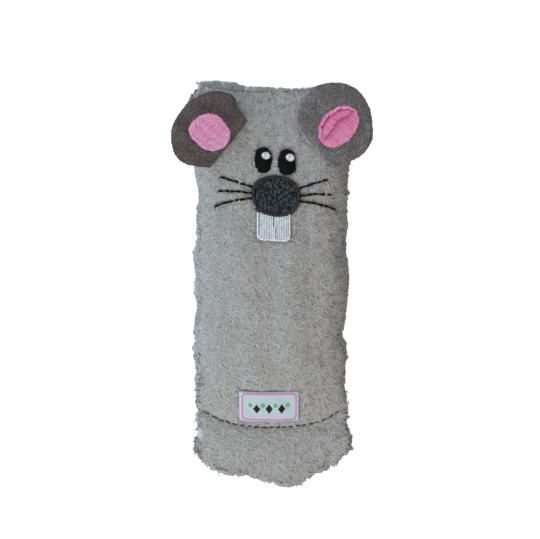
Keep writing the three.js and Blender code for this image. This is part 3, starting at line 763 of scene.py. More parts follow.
# %% Places of the ears
class EarSeat:
    """The frame of one ear: along its fold line, out to its tip and off its front."""

    def __init__(self, name):
        joint = next(j for j in frame["joints"] if j["child"] == name)
        self.middle = np.array(joint["pos_m"]) / MM
        front, back = (self.centre_of(f"{name}_{layer}") for layer in ("front", "back"))
        self.along = np.array(joint["axis"])
        self.along *= np.sign(self.along[0])
        out = (front + back) / 2 - self.middle
        out -= self.along * (out @ self.along)
        self.out = out / np.linalg.norm(out)
        self.off = np.cross(self.along, self.out)

    def centre_of(self, node):
        points = [v.co for v in frame["nodes"][node].data.vertices]
        return np.mean(points, axis=0) / MM

    def place(self, points, lift):
        u, v = np.asarray(points, float).T[..., None]
        return self.middle + u * self.along + v * self.out + np.reshape(lift, (-1, 1)) * self.off


EAR_BASE = 32
EAR_LAYER = 1.5
ears = {side: EarSeat(side + "_ear") for side in SIDES}
for side, seat in ears.items():
    print(side, "ear faces", np.round(seat.off, 2))

# %% [markdown]
# ## Curly pile
# The plush is covered with low loops of soft yarn, about a millimetre high: each strand rises from the
# ground, arches over to one side and comes back down. Strands could be hair curves, but the finished model
# needs plain meshes. So trees of geometry nodes build them. What all trees share comes first: inputs with
# names, values that are stored on points, tubes along curves, and a map for each strand.


# %% Trees with named sizes
KINDS = {"Float": "NodeSocketFloat", "Int": "NodeSocketInt", "Material": "NodeSocketMaterial"}


def new_tree(name, sizes):
    """A geometry tree with one named input for each size, as a graph and its input wires."""
    tree = bpy.data.node_groups.new(name, "GeometryNodeTree")
    tree.interface.new_socket("Geometry", in_out="INPUT", socket_type="NodeSocketGeometry")
    tree.interface.new_socket("Geometry", in_out="OUTPUT", socket_type="NodeSocketGeometry")
    for size, kind in sizes.items():
        tree.interface.new_socket(size, in_out="INPUT", socket_type=KINDS[kind])
    graph = Graph(tree)
    entry = graph.node("NodeGroupInput")
    return graph, {size: entry.other(size) for size in ["Geometry", *sizes]}


def store(graph, geometry, name, value, domain="POINT", kind="FLOAT"):
    settings = {"data_type": kind, "domain": domain}
    inputs = {0: geometry, "Name": name, "Value": value}
    return graph.node("GeometryNodeStoreNamedAttribute", settings, inputs)


def read(graph, name, kind="FLOAT"):
    return graph.node("GeometryNodeInputNamedAttribute", {"data_type": kind}, {"Name": name})


def chance(graph, low, high, seed):
    settings = {"data_type": "FLOAT"}
    return graph.node("FunctionNodeRandomValue", settings, {2: low, 3: high, 8: seed}, output=1)


def tube(graph, curve, radius, sides):
    """A closed tube along a curve, which remembers how far along and how far round each point is."""
    along = graph.node("GeometryNodeSplineParameter")
    curve = store(graph, curve, "along", along)
    profile = graph.node("GeometryNodeCurvePrimitiveCircle", None, {"Resolution": sides, "Radius": 1.0})
    profile = store(graph, profile, "round", graph.node("GeometryNodeSplineParameter"))
    inputs = {"Curve": curve, "Profile Curve": profile, "Scale": radius, "Fill Caps": True}
    return graph.node("GeometryNodeCurveToMesh", None, inputs)


MAP_ROUND = 0.03  # a strand's own width on its map, so that no face there is a bare line
MAP_ACROSS = (0.05, 0.9)  # where the shades start on the map, and their span
MAP_UP = (0.1, 0.86)  # where the way along a strand starts on the map, and its span


def finish_strands(graph, geometry, material):
    """Maps each strand by its shade and the way along it, smooths it and gives it its material."""
    turn = read(graph, "round") * (2 * math.pi)
    across = read(graph, "shade") * MAP_ACROSS[1] + MAP_ACROSS[0] + MAP_ROUND * turn.math("COSINE", turn)
    up = read(graph, "along") * MAP_UP[1] + MAP_UP[0] + MAP_ROUND * turn.math("SINE", turn)
    spot = graph.node("ShaderNodeCombineXYZ", None, {0: across, 1: up})
    geometry = store(graph, geometry, "OFBake", spot, "CORNER", "FLOAT2")
    geometry = graph.node("GeometryNodeSetShadeSmooth", None, {0: geometry})
    geometry = graph.node("GeometryNodeSetMaterial", None, {0: geometry, "Material": material})
    graph.node("NodeGroupOutput", None, {0: geometry})


HELPERS = ("along", "round", "shade", "keep", "tall", "comb", "skin_way")  # stored values that only trees use


def grown(name, base, tree, **sizes):
    """Runs a tree on a base mesh and keeps the result as a plain mesh."""
    holder = new_object(name + "_base", base)
    modifier = holder.modifiers.new(tree.name, "NODES")
    modifier.node_group = tree
    for socket in tree.interface.items_tree:
        if socket.in_out == "INPUT" and socket.name in sizes:
            modifier[socket.identifier] = sizes[socket.name]
    shown = bpy.context.evaluated_depsgraph_get()
    settings = {"preserve_all_data_layers": True, "depsgraph": shown}
    mesh = bpy.data.meshes.new_from_object(holder.evaluated_get(shown), **settings)
    holder.modifiers.clear()
    bpy.data.objects.remove(holder)
    for helper in HELPERS:
        if helper in mesh.attributes:
            mesh.attributes.remove(mesh.attributes[helper])
    mesh.name = name
    return new_object(name, mesh)


# %% [markdown]
# The tree of the pile scatters points on the ground, puts one of a few curl shapes on each and makes them
# real. A noise turns neighbours the same way, which gives the swirls of a brushed pile. Each strand borrows
# part of the ground's normal, so light falls on the pile as on one soft surface and not on single bright
# tubes.

# %% Tree of the pile
CURLS = 7
STRAND_STEPS = 3
STRAND_SIDES = 3
STRAY = 0.22  # how far a strand strays from its neighbours' heading
TILTS = [(-0.2, 0.2, 12), (-0.15, 0.2, 13), (-0.3, 0.3, 17)]  # least, most and seed about each axis
SHORT = 0.66  # the least scale of a strand
TUFT_GAIN, CHANCE_GAIN = 0.22, 0.15  # what its tuft and chance add to that
NORMAL_RAISE = (0.0, 0.0, 0.6)
NORMAL_SHARE = (1.2, 1.2, 1.2)  # how much of the ground's normal a strand borrows


def curl_shapes(graph, length, thickness, steps, sides):
    """A few strands of that length: each rises, arches over to one side and comes back down."""
    shapes = []
    for k in range(CURLS):
        side = (-1) ** k * (0.25 + 0.45 * ((k * 0.618) % 1))
        top = 0.2 + 0.14 * ((k * 0.37 + 0.2) % 1)
        tip = 0.13 - 0.16 * ((k * 0.73 + 0.1) % 1)
        points = {"Start": (0, 0, -0.14), "Start Handle": (0.02, 0, top)}
        points |= {"End Handle": (0.7, side * 0.3, top * 1.15), "End": (0.66, side, tip)}
        curve = graph.node("GeometryNodeCurvePrimitiveBezierSegment", None, {"Resolution": steps, **points})
        share = graph.node("GeometryNodeSplineParameter")
        radius = thickness / length * 0.5 * (1 - 0.6 * share**2)
        shapes.append(tube(graph, curve, radius, sides))
    return graph.node("GeometryNodeGeometryToInstance", None, {0: shapes})


def pile_tree(name, steps, sides):
    sizes = {"Density": "Float", "Length": "Float", "Thickness": "Float", "Swirl": "Float", "Tuft": "Float"}
    sizes |= {"Blotch": "Float", "Floor": "Float", "Seed": "Int", "Material": "Material"}
    graph, size = new_tree(name, sizes)
    density = size["Density"] * read(graph, "keep")
    inputs = {"Mesh": size["Geometry"], "Density": density, "Seed": size["Seed"]}
    points = graph.node("GeometryNodeDistributePointsOnFaces", None, inputs)
    normal = points.other("Normal")

    where = graph.node("GeometryNodeInputPosition")
    inputs = {"Vector": where, "Scale": size["Swirl"], "Detail": 2.0}
    swirl = graph.node("ShaderNodeTexNoise", None, inputs, output="Color")
    swirl = graph.vector("SUBTRACT", swirl, (0.5, 0.5, 0.5))
    inputs = {0: (-STRAY,) * 3, 1: (STRAY,) * 3, 8: 11}
    stray = graph.node("FunctionNodeRandomValue", {"data_type": "FLOAT_VECTOR"}, inputs)
    comb_way = read(graph, "comb", "FLOAT_VECTOR")
    heading = graph.vector("ADD", graph.vector("ADD", swirl, stray), comb_way)
    stand = graph.node("FunctionNodeAlignRotationToVector", {"axis": "Z"}, {"Vector": normal})
    inputs = {"Rotation": stand, "Vector": heading}
    headed = graph.node("FunctionNodeAlignRotationToVector", {"axis": "X", "pivot_axis": "Z"}, inputs)
    inputs = {axis: chance(graph, *tilt) for axis, tilt in enumerate(TILTS)}
    angles = graph.node("ShaderNodeCombineXYZ", None, inputs)
    tilted = graph.node("FunctionNodeEulerToRotation", None, {0: angles})
    rotation = graph.node("FunctionNodeRotateRotation", {"rotation_space": "LOCAL"}, {0: headed, 1: tilted})

    tuft = graph.node("ShaderNodeTexNoise", None, {"Vector": where, "Scale": size["Tuft"], "Detail": 0.0})
    scale = SHORT + TUFT_GAIN * tuft.smooth(0.3, 0.7) + CHANCE_GAIN * chance(graph, 0.0, 1.0, 14)
    scale = size["Length"] * read(graph, "tall") * scale
    pick = graph.node("FunctionNodeRandomValue", {"data_type": "INT"}, {4: 0, 5: CURLS - 1, 8: 15}, output=2)
    strands = curl_shapes(graph, size["Length"], size["Thickness"], steps, sides)
    inputs = {"Points": points, "Instance": strands, "Pick Instance": True, "Instance Index": pick}
    inputs |= {"Rotation": rotation, "Scale": scale}
    made = graph.node("GeometryNodeInstanceOnPoints", None, inputs)
    shade = mix(chance(graph, 0.0, 1.0, 16), tuft, size["Blotch"])
    made = store(graph, made, "shade", shade, "INSTANCE")
    raised = graph.vector("ADD", normal, NORMAL_RAISE)
    made = store(graph, made, "skin_way", raised, "INSTANCE", "FLOAT_VECTOR")
    made = graph.node("GeometryNodeRealizeInstances", None, {0: made})

    split = graph.node("ShaderNodeSeparateXYZ", None, {0: graph.node("GeometryNodeInputPosition")})
    height = split.math("MAXIMUM", split.other(2), size["Floor"])
    above = graph.node("ShaderNodeCombineXYZ", None, {0: split, 1: split.other(1), 2: height})
    made = graph.node("GeometryNodeSetPosition", None, {0: made, "Position": above})
    made = graph.node("GeometryNodeSetShadeSmooth", None, {0: made})
    borrowed = graph.vector("MULTIPLY", read(graph, "skin_way", "FLOAT_VECTOR"), NORMAL_SHARE)
    facing = graph.vector("ADD", graph.node("GeometryNodeInputNormal"), borrowed)
    inputs = {"Mesh": made, "Custom Normal": graph.vector("NORMALIZE", facing)}
    made = graph.node("GeometryNodeSetMeshNormal", {"mode": "TANGENT_SPACE"}, inputs)
    finish_strands(graph, made, size["Material"])
    return graph.tree


pile_nodes = pile_tree("curly_pile", STRAND_STEPS, STRAND_SIDES)
print("pile tree nodes:", len(pile_nodes.nodes))

# %% [markdown]
# The strands read two numbers from their own map: a shade for the whole strand, and the way along it. In
# real pile some light wanders from strand to strand down to the roots. Roots that are a little lighter than
# the tips stand in for it.

# %% Pile finish
pile_finish = Finish("curly_pile", Sheen_Weight=0.2, Sheen_Roughness=0.6, Specular_IOR_Level=0.1)
strand_shade, strand_along = pile_finish.own_map()
root_to_tip = pile_finish.mixed(strand_along.smooth(0.1, 0.75), paint(193, 187, 183), paint(167, 166, 165))
# A few strands, picked by their shade, are mixed towards a cool near white: painted highlights of strands
# that catch the light.
tinted = pile_finish.mixed(strand_shade.smooth(0.55, 1) * 0.2, root_to_tip, paint(222, 224, 227))
pile_finish.drive("Base Color", tinted)
pile_finish.drive("Roughness", 0.75 + 0.2 * strand_shade)
print("pile finish nodes:", len(pile_finish.tree.nodes))

# %% [markdown]
# The skin's grid says where pile may grow. To ask that at each of its points, a few fields measure how far
# the point is, in plan, from the pieces that are sewn on.


# %% Distances to the trim
def outside_oval(x, y, centre, width, height, power=2.0):
    """Below 0 inside an oval, about the distance to it outside."""
    u, v = np.abs(x - centre[0]) / (width / 2), np.abs(y - centre[1]) / (height / 2)
    return ((u**power + v**power) ** (1 / power) - 1) * min(width, height) / 2


def outside_box(x, y, centre, width, height):
    return np.maximum(np.abs(x - centre[0]) - width / 2, np.abs(y - centre[1]) - height / 2)


def from_line(x, y, line):
    """Distance to a line of points."""
    nearest = np.full(x.shape, np.inf)
    for a, b in zip(line, line[1:]):
        step = b - a
        share = np.clip(((x - a[0]) * step[0] + (y - a[1]) * step[1]) / (step @ step), 0, 1)
        nearest = np.minimum(nearest, np.hypot(x - a[0] - share * step[0], y - a[1] - share * step[1]))
    return nearest


def ear_shade(x, y, seat):
    """Distance in plan to an ear's base line, how far under the ear a point is, and how far along it."""
    flat = seat.along[:2] / np.linalg.norm(seat.along[:2])
    out = np.array([-flat[1], flat[0]])
    out *= np.sign(out @ seat.out[:2])
    u = (x - seat.middle[0]) * flat[0] + (y - seat.middle[1]) * flat[1]
    v = (x - seat.middle[0]) * out[0] + (y - seat.middle[1]) * out[1]
    return np.maximum(np.abs(u) - EAR_BASE / 2, np.abs(v)), v, u


def eye_room(x, y):
    """Distance in plan to the nearer eye."""
    size = (EYE_WIDTH, EYE_HEIGHT, EYE_POWER)
    rooms = [outside_oval(x, y, eye - (0, EYE_SINK), *size) for eye in eyes.values()]
    return np.minimum(*rooms)


def clearance(x, y):
    """Distance in plan to the nearest stitched piece, below 0 on it."""
    nearest = np.minimum(
        outside_oval(x, y, nose, NOSE_WIDTH, NOSE_HEIGHT, NOSE_POWER),
        outside_box(x, y, (teeth_x, teeth_bottom + TEETH_DROP), TEETH_WIDTH, 2 * TEETH_DROP),
    )
    nearest = np.minimum(nearest, outside_box(x, y, label_centre, LABEL_WIDTH, LABEL_HEIGHT))
    return np.minimum(nearest, eye_room(x, y))


def parting(x, y):
    """Distance in plan to the nearest whisker, the closing stitch or the toe thread."""
    nearest = np.minimum(np.abs(y - closing_line(x)), np.abs(y - toe_line(x) + TOE_THREAD_INSET))
    for whisker in WHISKERS.values():
        nearest = np.minimum(nearest, from_line(x, y, whisker_line(*whisker, 8)))
    return nearest


def away_from(field, x, y):
    """The direction in plan in which a field grows."""
    step = 0.2
    rise = [field(x + step, y) - field(x - step, y), field(x, y + step) - field(x, y - step)]
    way = np.stack([*rise, np.zeros_like(x)], axis=-1)
    return way / (np.linalg.norm(way, axis=-1, keepdims=True) + 1e-6)


x, y = skin_grid[..., 0], skin_grid[..., 1]
clear, part = clearance(x, y), parting(x, y)
part += 0.25 * waves(skin_grid, 3.0, 12, 41)
print("points of the front under the trim:", int((clear < 0)[:, rising].sum()))

# %% [markdown]
# Three values at each point steer the pile: how much of it is kept, how tall it grows and which way it is
# combed. On the front it is bare under the trim and thin along the whiskers and the seams. It grows in
# clumps, more so at the right and at the toe. Round the eyes it leans over their edge, and it laps over the
# base lines of the ears and lies short under them.

# %% Bare spots on the front
EAR_LAPS = {"left": 1.0, "right": 0.3}  # how much the pile laps over the ears' base lines
CLUMP_SIZE = 4.6
SHELTER = 0.7  # how much shorter the pile is under an ear

keep = soft_step(clear, 0.0, 0.4) * (0.2 + 0.8 * soft_step(part, 0.3, 0.9))
tall = mix(0.5, 1, soft_step(clear, 0.2, 2.2)) * mix(0.55, 1, soft_step(part, 0.4, 2.4))
tangled = np.maximum(soft_step(x, 4, 30), 0.6 * soft_step(y, 50, 70))
clumps = waves(skin_grid, CLUMP_SIZE, 24, 42)
tall *= 1 + (0.15 + 0.4 * tangled) * clumps
keep *= 1 - (0.2 + 0.55 * tangled) * soft_step(-clumps, 0.4, 1.4)
near_eye = 1 - soft_step(eye_room(x, y), 0.5, 1.7)
tall *= mix(1, 1.2, near_eye)
lean = mix(0.9, 0.4, near_eye) * (1 - soft_step(clear, 0.4, 2.0))
comb = lean[..., None] * away_from(clearance, x, y)
comb += 0.2 * away_from(parting, x, y) * (1 - soft_step(part, 0.3, 2.2))[..., None]
for side, seat in ears.items():
    base, under, along_base = ear_shade(x, y, seat)
    keep = np.minimum(keep, np.where(under > 0, soft_step(base, 1.2, 2.2), soft_step(base, 0.2, 0.6)))
    lap = EAR_LAPS[side] * (1 - soft_step(base, 1.4, 4.0)) * (under <= 0)
    tall *= 1 + 0.9 * lap
    comb += (0.6 * lap)[..., None] * np.array([*seat.out[:2], 0])
    sheltered = soft_step(under, 0, 2) * (1 - soft_step(np.hypot(along_base, under - 12), 18, 21))
    tall = np.minimum(tall, 1 - SHELTER * sheltered)
print("shortest pile on the front:", round(float(tall[:, rising].min()), 2), "of its full height")

# %% [markdown]
# The back has no trim, only the closing stitch, and the toy lies on it, so its pile is thinner. Where the
# skin turns from the front to the back, longer strands make the fringe of the outline. Towards the toe's
# edge the pile gets short.

# %% Pile on the back and along the edges
BACK_SHARE = 0.38  # how much of the pile is kept where the skin faces the table

front_side = np.broadcast_to(rising, x.shape)
part_back = np.abs(y - closing_line(x))
keep = np.where(front_side, keep, 1.0)
tall = np.where(front_side, tall, mix(0.55, 1, soft_step(part_back, 0.4, 2.6)))
comb = np.where(front_side[..., None], comb, 0.0)
keep = np.minimum(keep, soft_step(part_back, 0.2, 0.7))
facing_up = skin_normals[..., 2]
keep *= np.where(front_side, 1.0, mix(1.0, BACK_SHARE, soft_step(-facing_up, 0.3, 0.8)))
fringe = soft_step(facing_up, -0.25, 0.05) - soft_step(facing_up, 0.15, 0.55)
tall *= 1 + fringe * (0.4 + 0.2 * clumps)
toe_gap = toe_line(x) + toe_hump(x) - y
tall *= mix(0.45 + 0.1 * toe_hump(x), 1, soft_step(toe_gap, 0.0, 5.0))
print("bare share of the front:", round(float((keep < 0.5)[front_side].mean()), 3))

# %% [markdown]
# A piece of pile stays under two hundred thousand triangles, so the tube's pile comes in bands. The bands
# near the closing stitch have their place baked into their meshes, and the others hang on the body.

# %% Pile in bands
DENSITY = 3.7e6  # strands for each square metre
STRAND_LENGTH = 4.2 * MM
STRAND_THICKNESS = 1.6 * MM
SWIRL_SCALE = 240.0
TUFT_SCALE = 400.0
PILE_BLOTCH = 0.3  # the share of a strand's shade that it has in common with its neighbours
PILE_FLOOR = 0.1 * MM

front_columns = range(0, AROUND // 2)
back_columns = range(AROUND // 2, AROUND)
row_y = skin_grid[:, AROUND // 4, 1]


def rows_between(high, low):
    rows = [k for k in range(SLEEVE_ROWS) if low <= row_y[k] < high]
    return rows[0], rows[-1] + 1


FRONT_BANDS = {"crown": (120, 82), "brow": (82, 56), "cheeks": (56, 30), "throat": (30, 4)}
FRONT_BANDS |= {"chest": (4, -22), "waist": (-22, -46), "belly": (-46, -80)}
BACK_BANDS = {"nape": (120, 56), "shoulders": (56, 14), "back": (14, -28), "seat": (-28, -80)}
bands = {f"pile_{name}": (*rows_between(*span), front_columns) for name, span in FRONT_BANDS.items()}
bands |= {f"pile_{name}": (*rows_between(*span), back_columns) for name, span in BACK_BANDS.items()}
bands["pile_cuff_front"] = (SLEEVE_ROWS + 1, hem_row, front_columns)
bands["pile_cuff_back"] = (SLEEVE_ROWS + 1, hem_row, back_columns)
FOLDING_BANDS = {"pile_belly", "pile_seat", "pile_cuff_front", "pile_cuff_back"}


def combed(mesh, keep, tall, comb):
    """Writes on a base mesh how densely, how tall and which way its pile grows."""
    for attribute, values in (("keep", keep), ("tall", tall)):
        made = mesh.attributes.new(attribute, "FLOAT", "POINT")
        made.data.foreach_set("value", values.astype(np.float32))
    made = mesh.attributes.new("comb", "FLOAT_VECTOR", "POINT")
    made.data.foreach_set("vector", comb.astype(np.float32).reshape(-1))
    return mesh


def band_mesh(name, first_row, last_row, columns):
    """The part of the skin that grows one band, with its bare spots."""
    faces = np.array(grid_faces(first_row, last_row, columns))
    used, compact = np.unique(faces, return_inverse=True)
    mesh = new_mesh(name, skin_grid.reshape(-1, 3)[used], compact.reshape(faces.shape).tolist())
    return combed(mesh, keep.reshape(-1)[used], tall.reshape(-1)[used], comb.reshape(-1, 3)[used])


for seed, (name, (first_row, last_row, columns)) in enumerate(bands.items()):
    band = grown(
        name,
        band_mesh(name, first_row, last_row, columns),
        pile_nodes,
        Density=DENSITY,
        Length=STRAND_LENGTH,
        Thickness=STRAND_THICKNESS,
        Swirl=SWIRL_SCALE,
        Tuft=TUFT_SCALE,
        Blotch=PILE_BLOTCH,
        Floor=PILE_FLOOR,
        Seed=seed,
        Material=pile_finish.material,
    )
    if name in FOLDING_BANDS:
        folds(band)
    else:
        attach(band, "body")
    print(name, len(band.data.polygons), "faces")

# %% [markdown]
# ## Embroidery
# A stitch is a short length of shiny thread that dives into the cloth at both ends. A patch of them lies on
# a low pad. The base mesh of a patch holds the pad as faces and each stitch as a line of loose edges: the
# tree turns the lines into threads, leaves the pad as it is and maps both.

# %% Tree of the stitches
STITCH_SIDES = 6


def stitch_tree():
    sizes = {"Thread": "Float", "Taper": "Float", "Seed": "Int", "Material": "Material"}
    graph, size = new_tree("stitches", sizes)
    beside = graph.node("GeometryNodeInputMeshEdgeNeighbors")
    loose = graph.node("FunctionNodeCompare", {"data_type": "INT", "operation": "EQUAL"}, {2: beside, 3: 0})
    lines = graph.node("GeometryNodeMeshToCurve", None, {0: size["Geometry"], 1: loose})
    lines = store(graph, lines, "shade", chance(graph, 0.0, 1.0, size["Seed"]), "CURVE")
    share = graph.node("GeometryNodeSplineParameter")
    radius = size["Thread"] * (1 - size["Taper"] * abs(2 * share - 1) ** 4)
    threads = tube(graph, lines, radius, STITCH_SIDES)
    pad = graph.node("GeometryNodeDeleteGeometry", {"domain": "EDGE"}, {0: size["Geometry"], 1: loose})
    both = graph.node("GeometryNodeJoinGeometry", None, {0: [pad, threads]})
    both = graph.node("GeometryNodeRealizeInstances", None, {0: both})
    finish_strands(graph, both, size["Material"])
    return graph.tree


stitch_nodes = stitch_tree()
print("stitch tree nodes:", len(stitch_nodes.nodes))

# %% [markdown]
# Embroidery thread is shiny. Every stitch has its own shade between a dark and a light colour, and its ends
# sink into shadow. The pad below shows that shadow's colour: it has a strip of the map of its own, below
# the threads.

# %% Threads
PAD_LOW, PAD_HIGH = -0.105, -0.065  # the strip of the map that holds the pads
PAD_EDGE = (0.055, 0.065)  # between that strip and the threads


def thread_finish(name, dark, light, shadow, gloss, shine=0.35, dim=0.34, deep=0.55, plain=0.0):
    """Thread between two colours. Its start is in shadow up to dim, and deep says how dark that shadow is."""
    dark, light, shadow = (paint(*colour) for colour in (dark, light, shadow))
    finish = Finish(name, Specular_IOR_Level=shine)
    shade, along = finish.own_map()
    ends = 1 - along.smooth(0.12, dim) * (1 - along.smooth(0.81, 0.97))
    tone = finish.mixed(ends * deep, finish.mixed(shade.smooth(plain, 1), dark, light), shadow)
    finish.drive("Base Color", finish.mixed(along.smooth(*PAD_EDGE), shadow, tone))
    finish.drive("Roughness", gloss + 0.15 * shade)
    return finish.material


THREAD_COLOURS = {  # dark, light, shadow and gloss
    "black_thread": ((6, 7, 7), (18, 20, 20), (3, 4, 4), 0.5),
    "white_thread": ((212, 216, 224), (242, 244, 249), (158, 163, 174), 0.4),
    "tooth_thread": ((207, 210, 217), (233, 235, 240), (170, 172, 183), 0.4),
    "nose_thread": ((42, 48, 51), (98, 106, 110), (3, 4, 5), 0.5),
    "border_thread": ((24, 27, 30), (56, 61, 65), (8, 9, 11), 0.4),
    # Both pinks are one thread: the left one is painted lighter, as painted sheen of satin that faces the
    # light, and the right one's deep shadow colour is painted shade at its groove and border.
    "pink_thread_left": ((255, 168, 220), (255, 208, 242), (255, 138, 196), 0.4),
    "pink_thread_right": ((255, 140, 192), (255, 196, 230), (186, 42, 114), 0.4),
    "seam_thread": ((144, 142, 124), (170, 168, 148), (108, 106, 92), 0.5),
    "ear_thread": ((64, 59, 59), (96, 90, 90), (58, 53, 53), 0.6),
    "grey_thread": ((30, 30, 32), (56, 56, 58), (16, 16, 16), 0.5),
}
THREAD_WAYS = {  # what sets a thread apart
    "black_thread": {"shine": 0.1},
    "nose_thread": {"shine": 0.12, "deep": 0.9, "plain": 0.25},
    "border_thread": {"shine": 0.25},
    "pink_thread_left": {"deep": 0.15},
    "pink_thread_right": {"dim": 0.48, "deep": 0.62},
    "ear_thread": {"shine": 0.15},
    "grey_thread": {"shine": 0.15},
}
threads = {}
for name, colours in THREAD_COLOURS.items():
    threads[name] = thread_finish(name, *colours, **THREAD_WAYS.get(name, {}))
print("threads:", ", ".join(threads))

# %% [markdown]
# Patches are drawn in plan: outlines as smooth loops through a few points, rows of stitches that fill them,
# and short stitches across their borders.


# %% Drawing stitches
def curve_between(a, b, c, d, t):
    """The points at shares t of a smooth curve from b to c, which comes from a and goes on to d."""
    return b + (c - a) * t / 2 + (2 * a - 5 * b + 4 * c - d) * t**2 / 2 + (3 * b - a - 3 * c + d) * t**3 / 2


def loop(points, count):
    """A smooth closed outline through a few points."""
    points = np.array(points, float)
    spot = np.arange(count) / count * len(points)
    first = spot.astype(int)
    t = (spot - first)[:, None]
    return curve_between(*(points[(first + step) % len(points)] for step in (-1, 0, 1, 2)), t)


def even(outline, spacing):
    """Points at even steps round a closed outline, with the way inwards at each."""
    closed = np.vstack([outline, outline[:1]])
    reach = np.concatenate([[0], np.cumsum(np.linalg.norm(np.diff(closed, axis=0), axis=1))])
    stops = np.linspace(0, reach[-1], max(8, round(reach[-1] / spacing)), endpoint=False)
    points = np.stack([np.interp(stops, reach, closed[:, k]) for k in (0, 1)], axis=1)
    ahead = np.roll(points, -1, axis=0) - np.roll(points, 1, axis=0)
    ahead /= np.linalg.norm(ahead, axis=1, keepdims=True)
    return points, np.stack([-ahead[:, 1], ahead[:, 0]], axis=1)


def drawn_in(outline, room):
    points, inwards = even(outline, 0.4)
    return points + inwards * room


def turned(points, angle):
    c, s = math.cos(angle), math.sin(angle)
    return np.asarray(points) @ np.array([[c, s], [-s, c]])


def row_span(outline, v):
    """Where a row enters and leaves an outline."""
    a, b = outline, np.roll(outline, -1, axis=0)
    crosses = (a[:, 1] > v) != (b[:, 1] > v)
    a, b = a[crosses], b[crosses]
    u = a[:, 0] + (v - a[:, 1]) / (b[:, 1] - a[:, 1]) * (b[:, 0] - a[:, 0])
    return u.min(), u.max()


def filled(outline, angle, pitch, cuts, random, ragged=0.0):
    """Rows of stitches across an outline. cuts(row) says where a row is cut into stitches."""
    flat = turned(outline, -angle)
    low, high = flat[:, 1].min(), flat[:, 1].max()
    pairs = []
    for row, v in enumerate(np.arange(low + 0.6 * pitch, high - 0.3 * pitch, pitch)):
        left, right = row_span(flat, v)
        if row % 2 == 0:
            jags = ragged * random.uniform(-1, 1, 2)
        left -= jags[0]
        right += jags[1]
        marks = [left] + [cut for cut in cuts(row) if left + 0.5 < cut < right - 0.5] + [right]
        pairs += [((start, v), (end, v)) for start, end in zip(marks, marks[1:])]
    return turned(np.array(pairs).reshape(-1, 2), angle).reshape(-1, 2, 2)


JAG_SEED = 5


def bordered(outline, width, pitch, slant=0.0, ragged=0.0):
    """Short stitches across the border of an outline. Ragged ones start and end unevenly, in pairs."""
    points, inwards = even(outline, pitch)
    along = np.stack([inwards[:, 1], -inwards[:, 0]], axis=1)
    jags = ragged * np.random.default_rng(JAG_SEED).uniform(-1, 1, (len(points) // 2 + 1, 2))
    out, over = np.repeat(jags, 2, axis=0)[: len(points)].T[..., None]
    return np.stack([points - inwards * out, points + inwards * (width + 2 * over) + along * slant], axis=1)


# %% [markdown]
# Under the stitches lies a pad: a full one under a fill and a closed band under a border. The last helper
# sews a piece together: every stitch becomes five points with their own rise, and the tree does the rest.


# %% Sewing pieces
def pad_parts(outline, middle, place, low, high):
    """A closed pad over an outline: a rim, a flat top and a flat underside."""
    shares = [1, 0.9, 0.5]
    count = len(outline)
    heights = [mix(low, high, 0.75), high, high]
    rings = [place(outline, low)]
    rings += [place(middle + (outline - middle) * share, height) for share, height in zip(shares, heights)]
    points = np.vstack(rings + [place([middle], high), place([middle], low)])
    faces = []
    for k in range(count):
        beside = (k + 1) % count
        for ring in range(len(shares)):
            faces.append(ring_quad(k, count, ring * count, (ring + 1) * count))
        top = len(shares) * count
        faces.append((top + k, top + beside, len(points) - 2))
        faces.append((beside, k, len(points) - 1))
    return points, faces


def band_parts(outer, inner, place, low, high):
    """A closed band between two outlines with as many points."""
    count = len(outer)
    points = np.vstack([place(outer, low), place(outer, high), place(inner, high), place(inner, low)])
    faces = []
    for k in range(count):
        for ring in range(4):
            faces.append(ring_quad(k, count, ring * count, (ring + 1) % 4 * count))
    return points, faces


STITCH_SHARE = np.array([0, 0.14, 0.5, 0.86, 1])
TAPER = 0.45


def sewn(name, node, slot, body, place, stitches, material, thread, lift, arch=0.12, dive=0.5, pad=None):
    """One embroidered piece: its stitches, given as pairs of ends or as lines of five points, on its pad."""
    stitches = np.asarray(stitches, float)
    if stitches.shape[1] == 2:
        start, end = stitches[:, :1], stitches[:, 1:]
        stitches = start + (end - start) * STITCH_SHARE[None, :, None]
    arch, dive = (np.broadcast_to(value, len(stitches)) for value in (arch, dive))
    rise = lift + np.stack([-dive, -0.1 * dive, arch, -0.1 * dive, -dive], axis=1)
    lines = place(stitches.reshape(-1, 2), rise.reshape(-1))
    pad_points, faces = pad if pad else (np.zeros((0, 3)), [])
    first = len(pad_points) + 5 * np.arange(len(stitches))[:, None] + np.arange(4)
    edges = np.stack([first, first + 1], axis=-1).reshape(-1, 2)
    points = np.vstack([pad_points, lines])
    base = new_mesh(name, points, faces, edges.tolist())
    spread = (points - points.min(axis=0)) / np.maximum(np.ptp(points, axis=0), 1e-6)
    for attribute, values in (("shade", spread[:, 0]), ("along", mix(PAD_LOW, PAD_HIGH, spread[:, 1]))):
        base.attributes.new(attribute, "FLOAT", "POINT").data.foreach_set("value", values.astype(np.float32))
    sizes = {"Thread": thread * MM, "Taper": TAPER, "Seed": len(stitches), "Material": threads[material]}
    piece = grown(name, base, stitch_nodes, **sizes)
    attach(piece, body)
    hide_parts(node)
    print(name, len(stitches), "stitches")
    return piece


# %% [markdown]
# ### Eyes
# Black satin rows run straight across each eye, and their ends are uneven, so the eye's outline is ragged.
# A white satin dot is sewn on top of it.

# %% Eyes
SKIN_DEPTH = -1.6  # the ground of the plush, below the solid's surface
FACE_PAD = 0.15
THREAD = 0.27
PITCH = 0.46
random = np.random.default_rng(3)


def oval(centre, width, height, power=2.0, count=96):
    angle = np.arange(count) / count * 2 * math.pi
    reach = np.stack([signed_power(np.cos(angle), 2 / power), signed_power(np.sin(angle), 2 / power)], axis=1)
    return centre + reach * np.array([width, height]) / 2


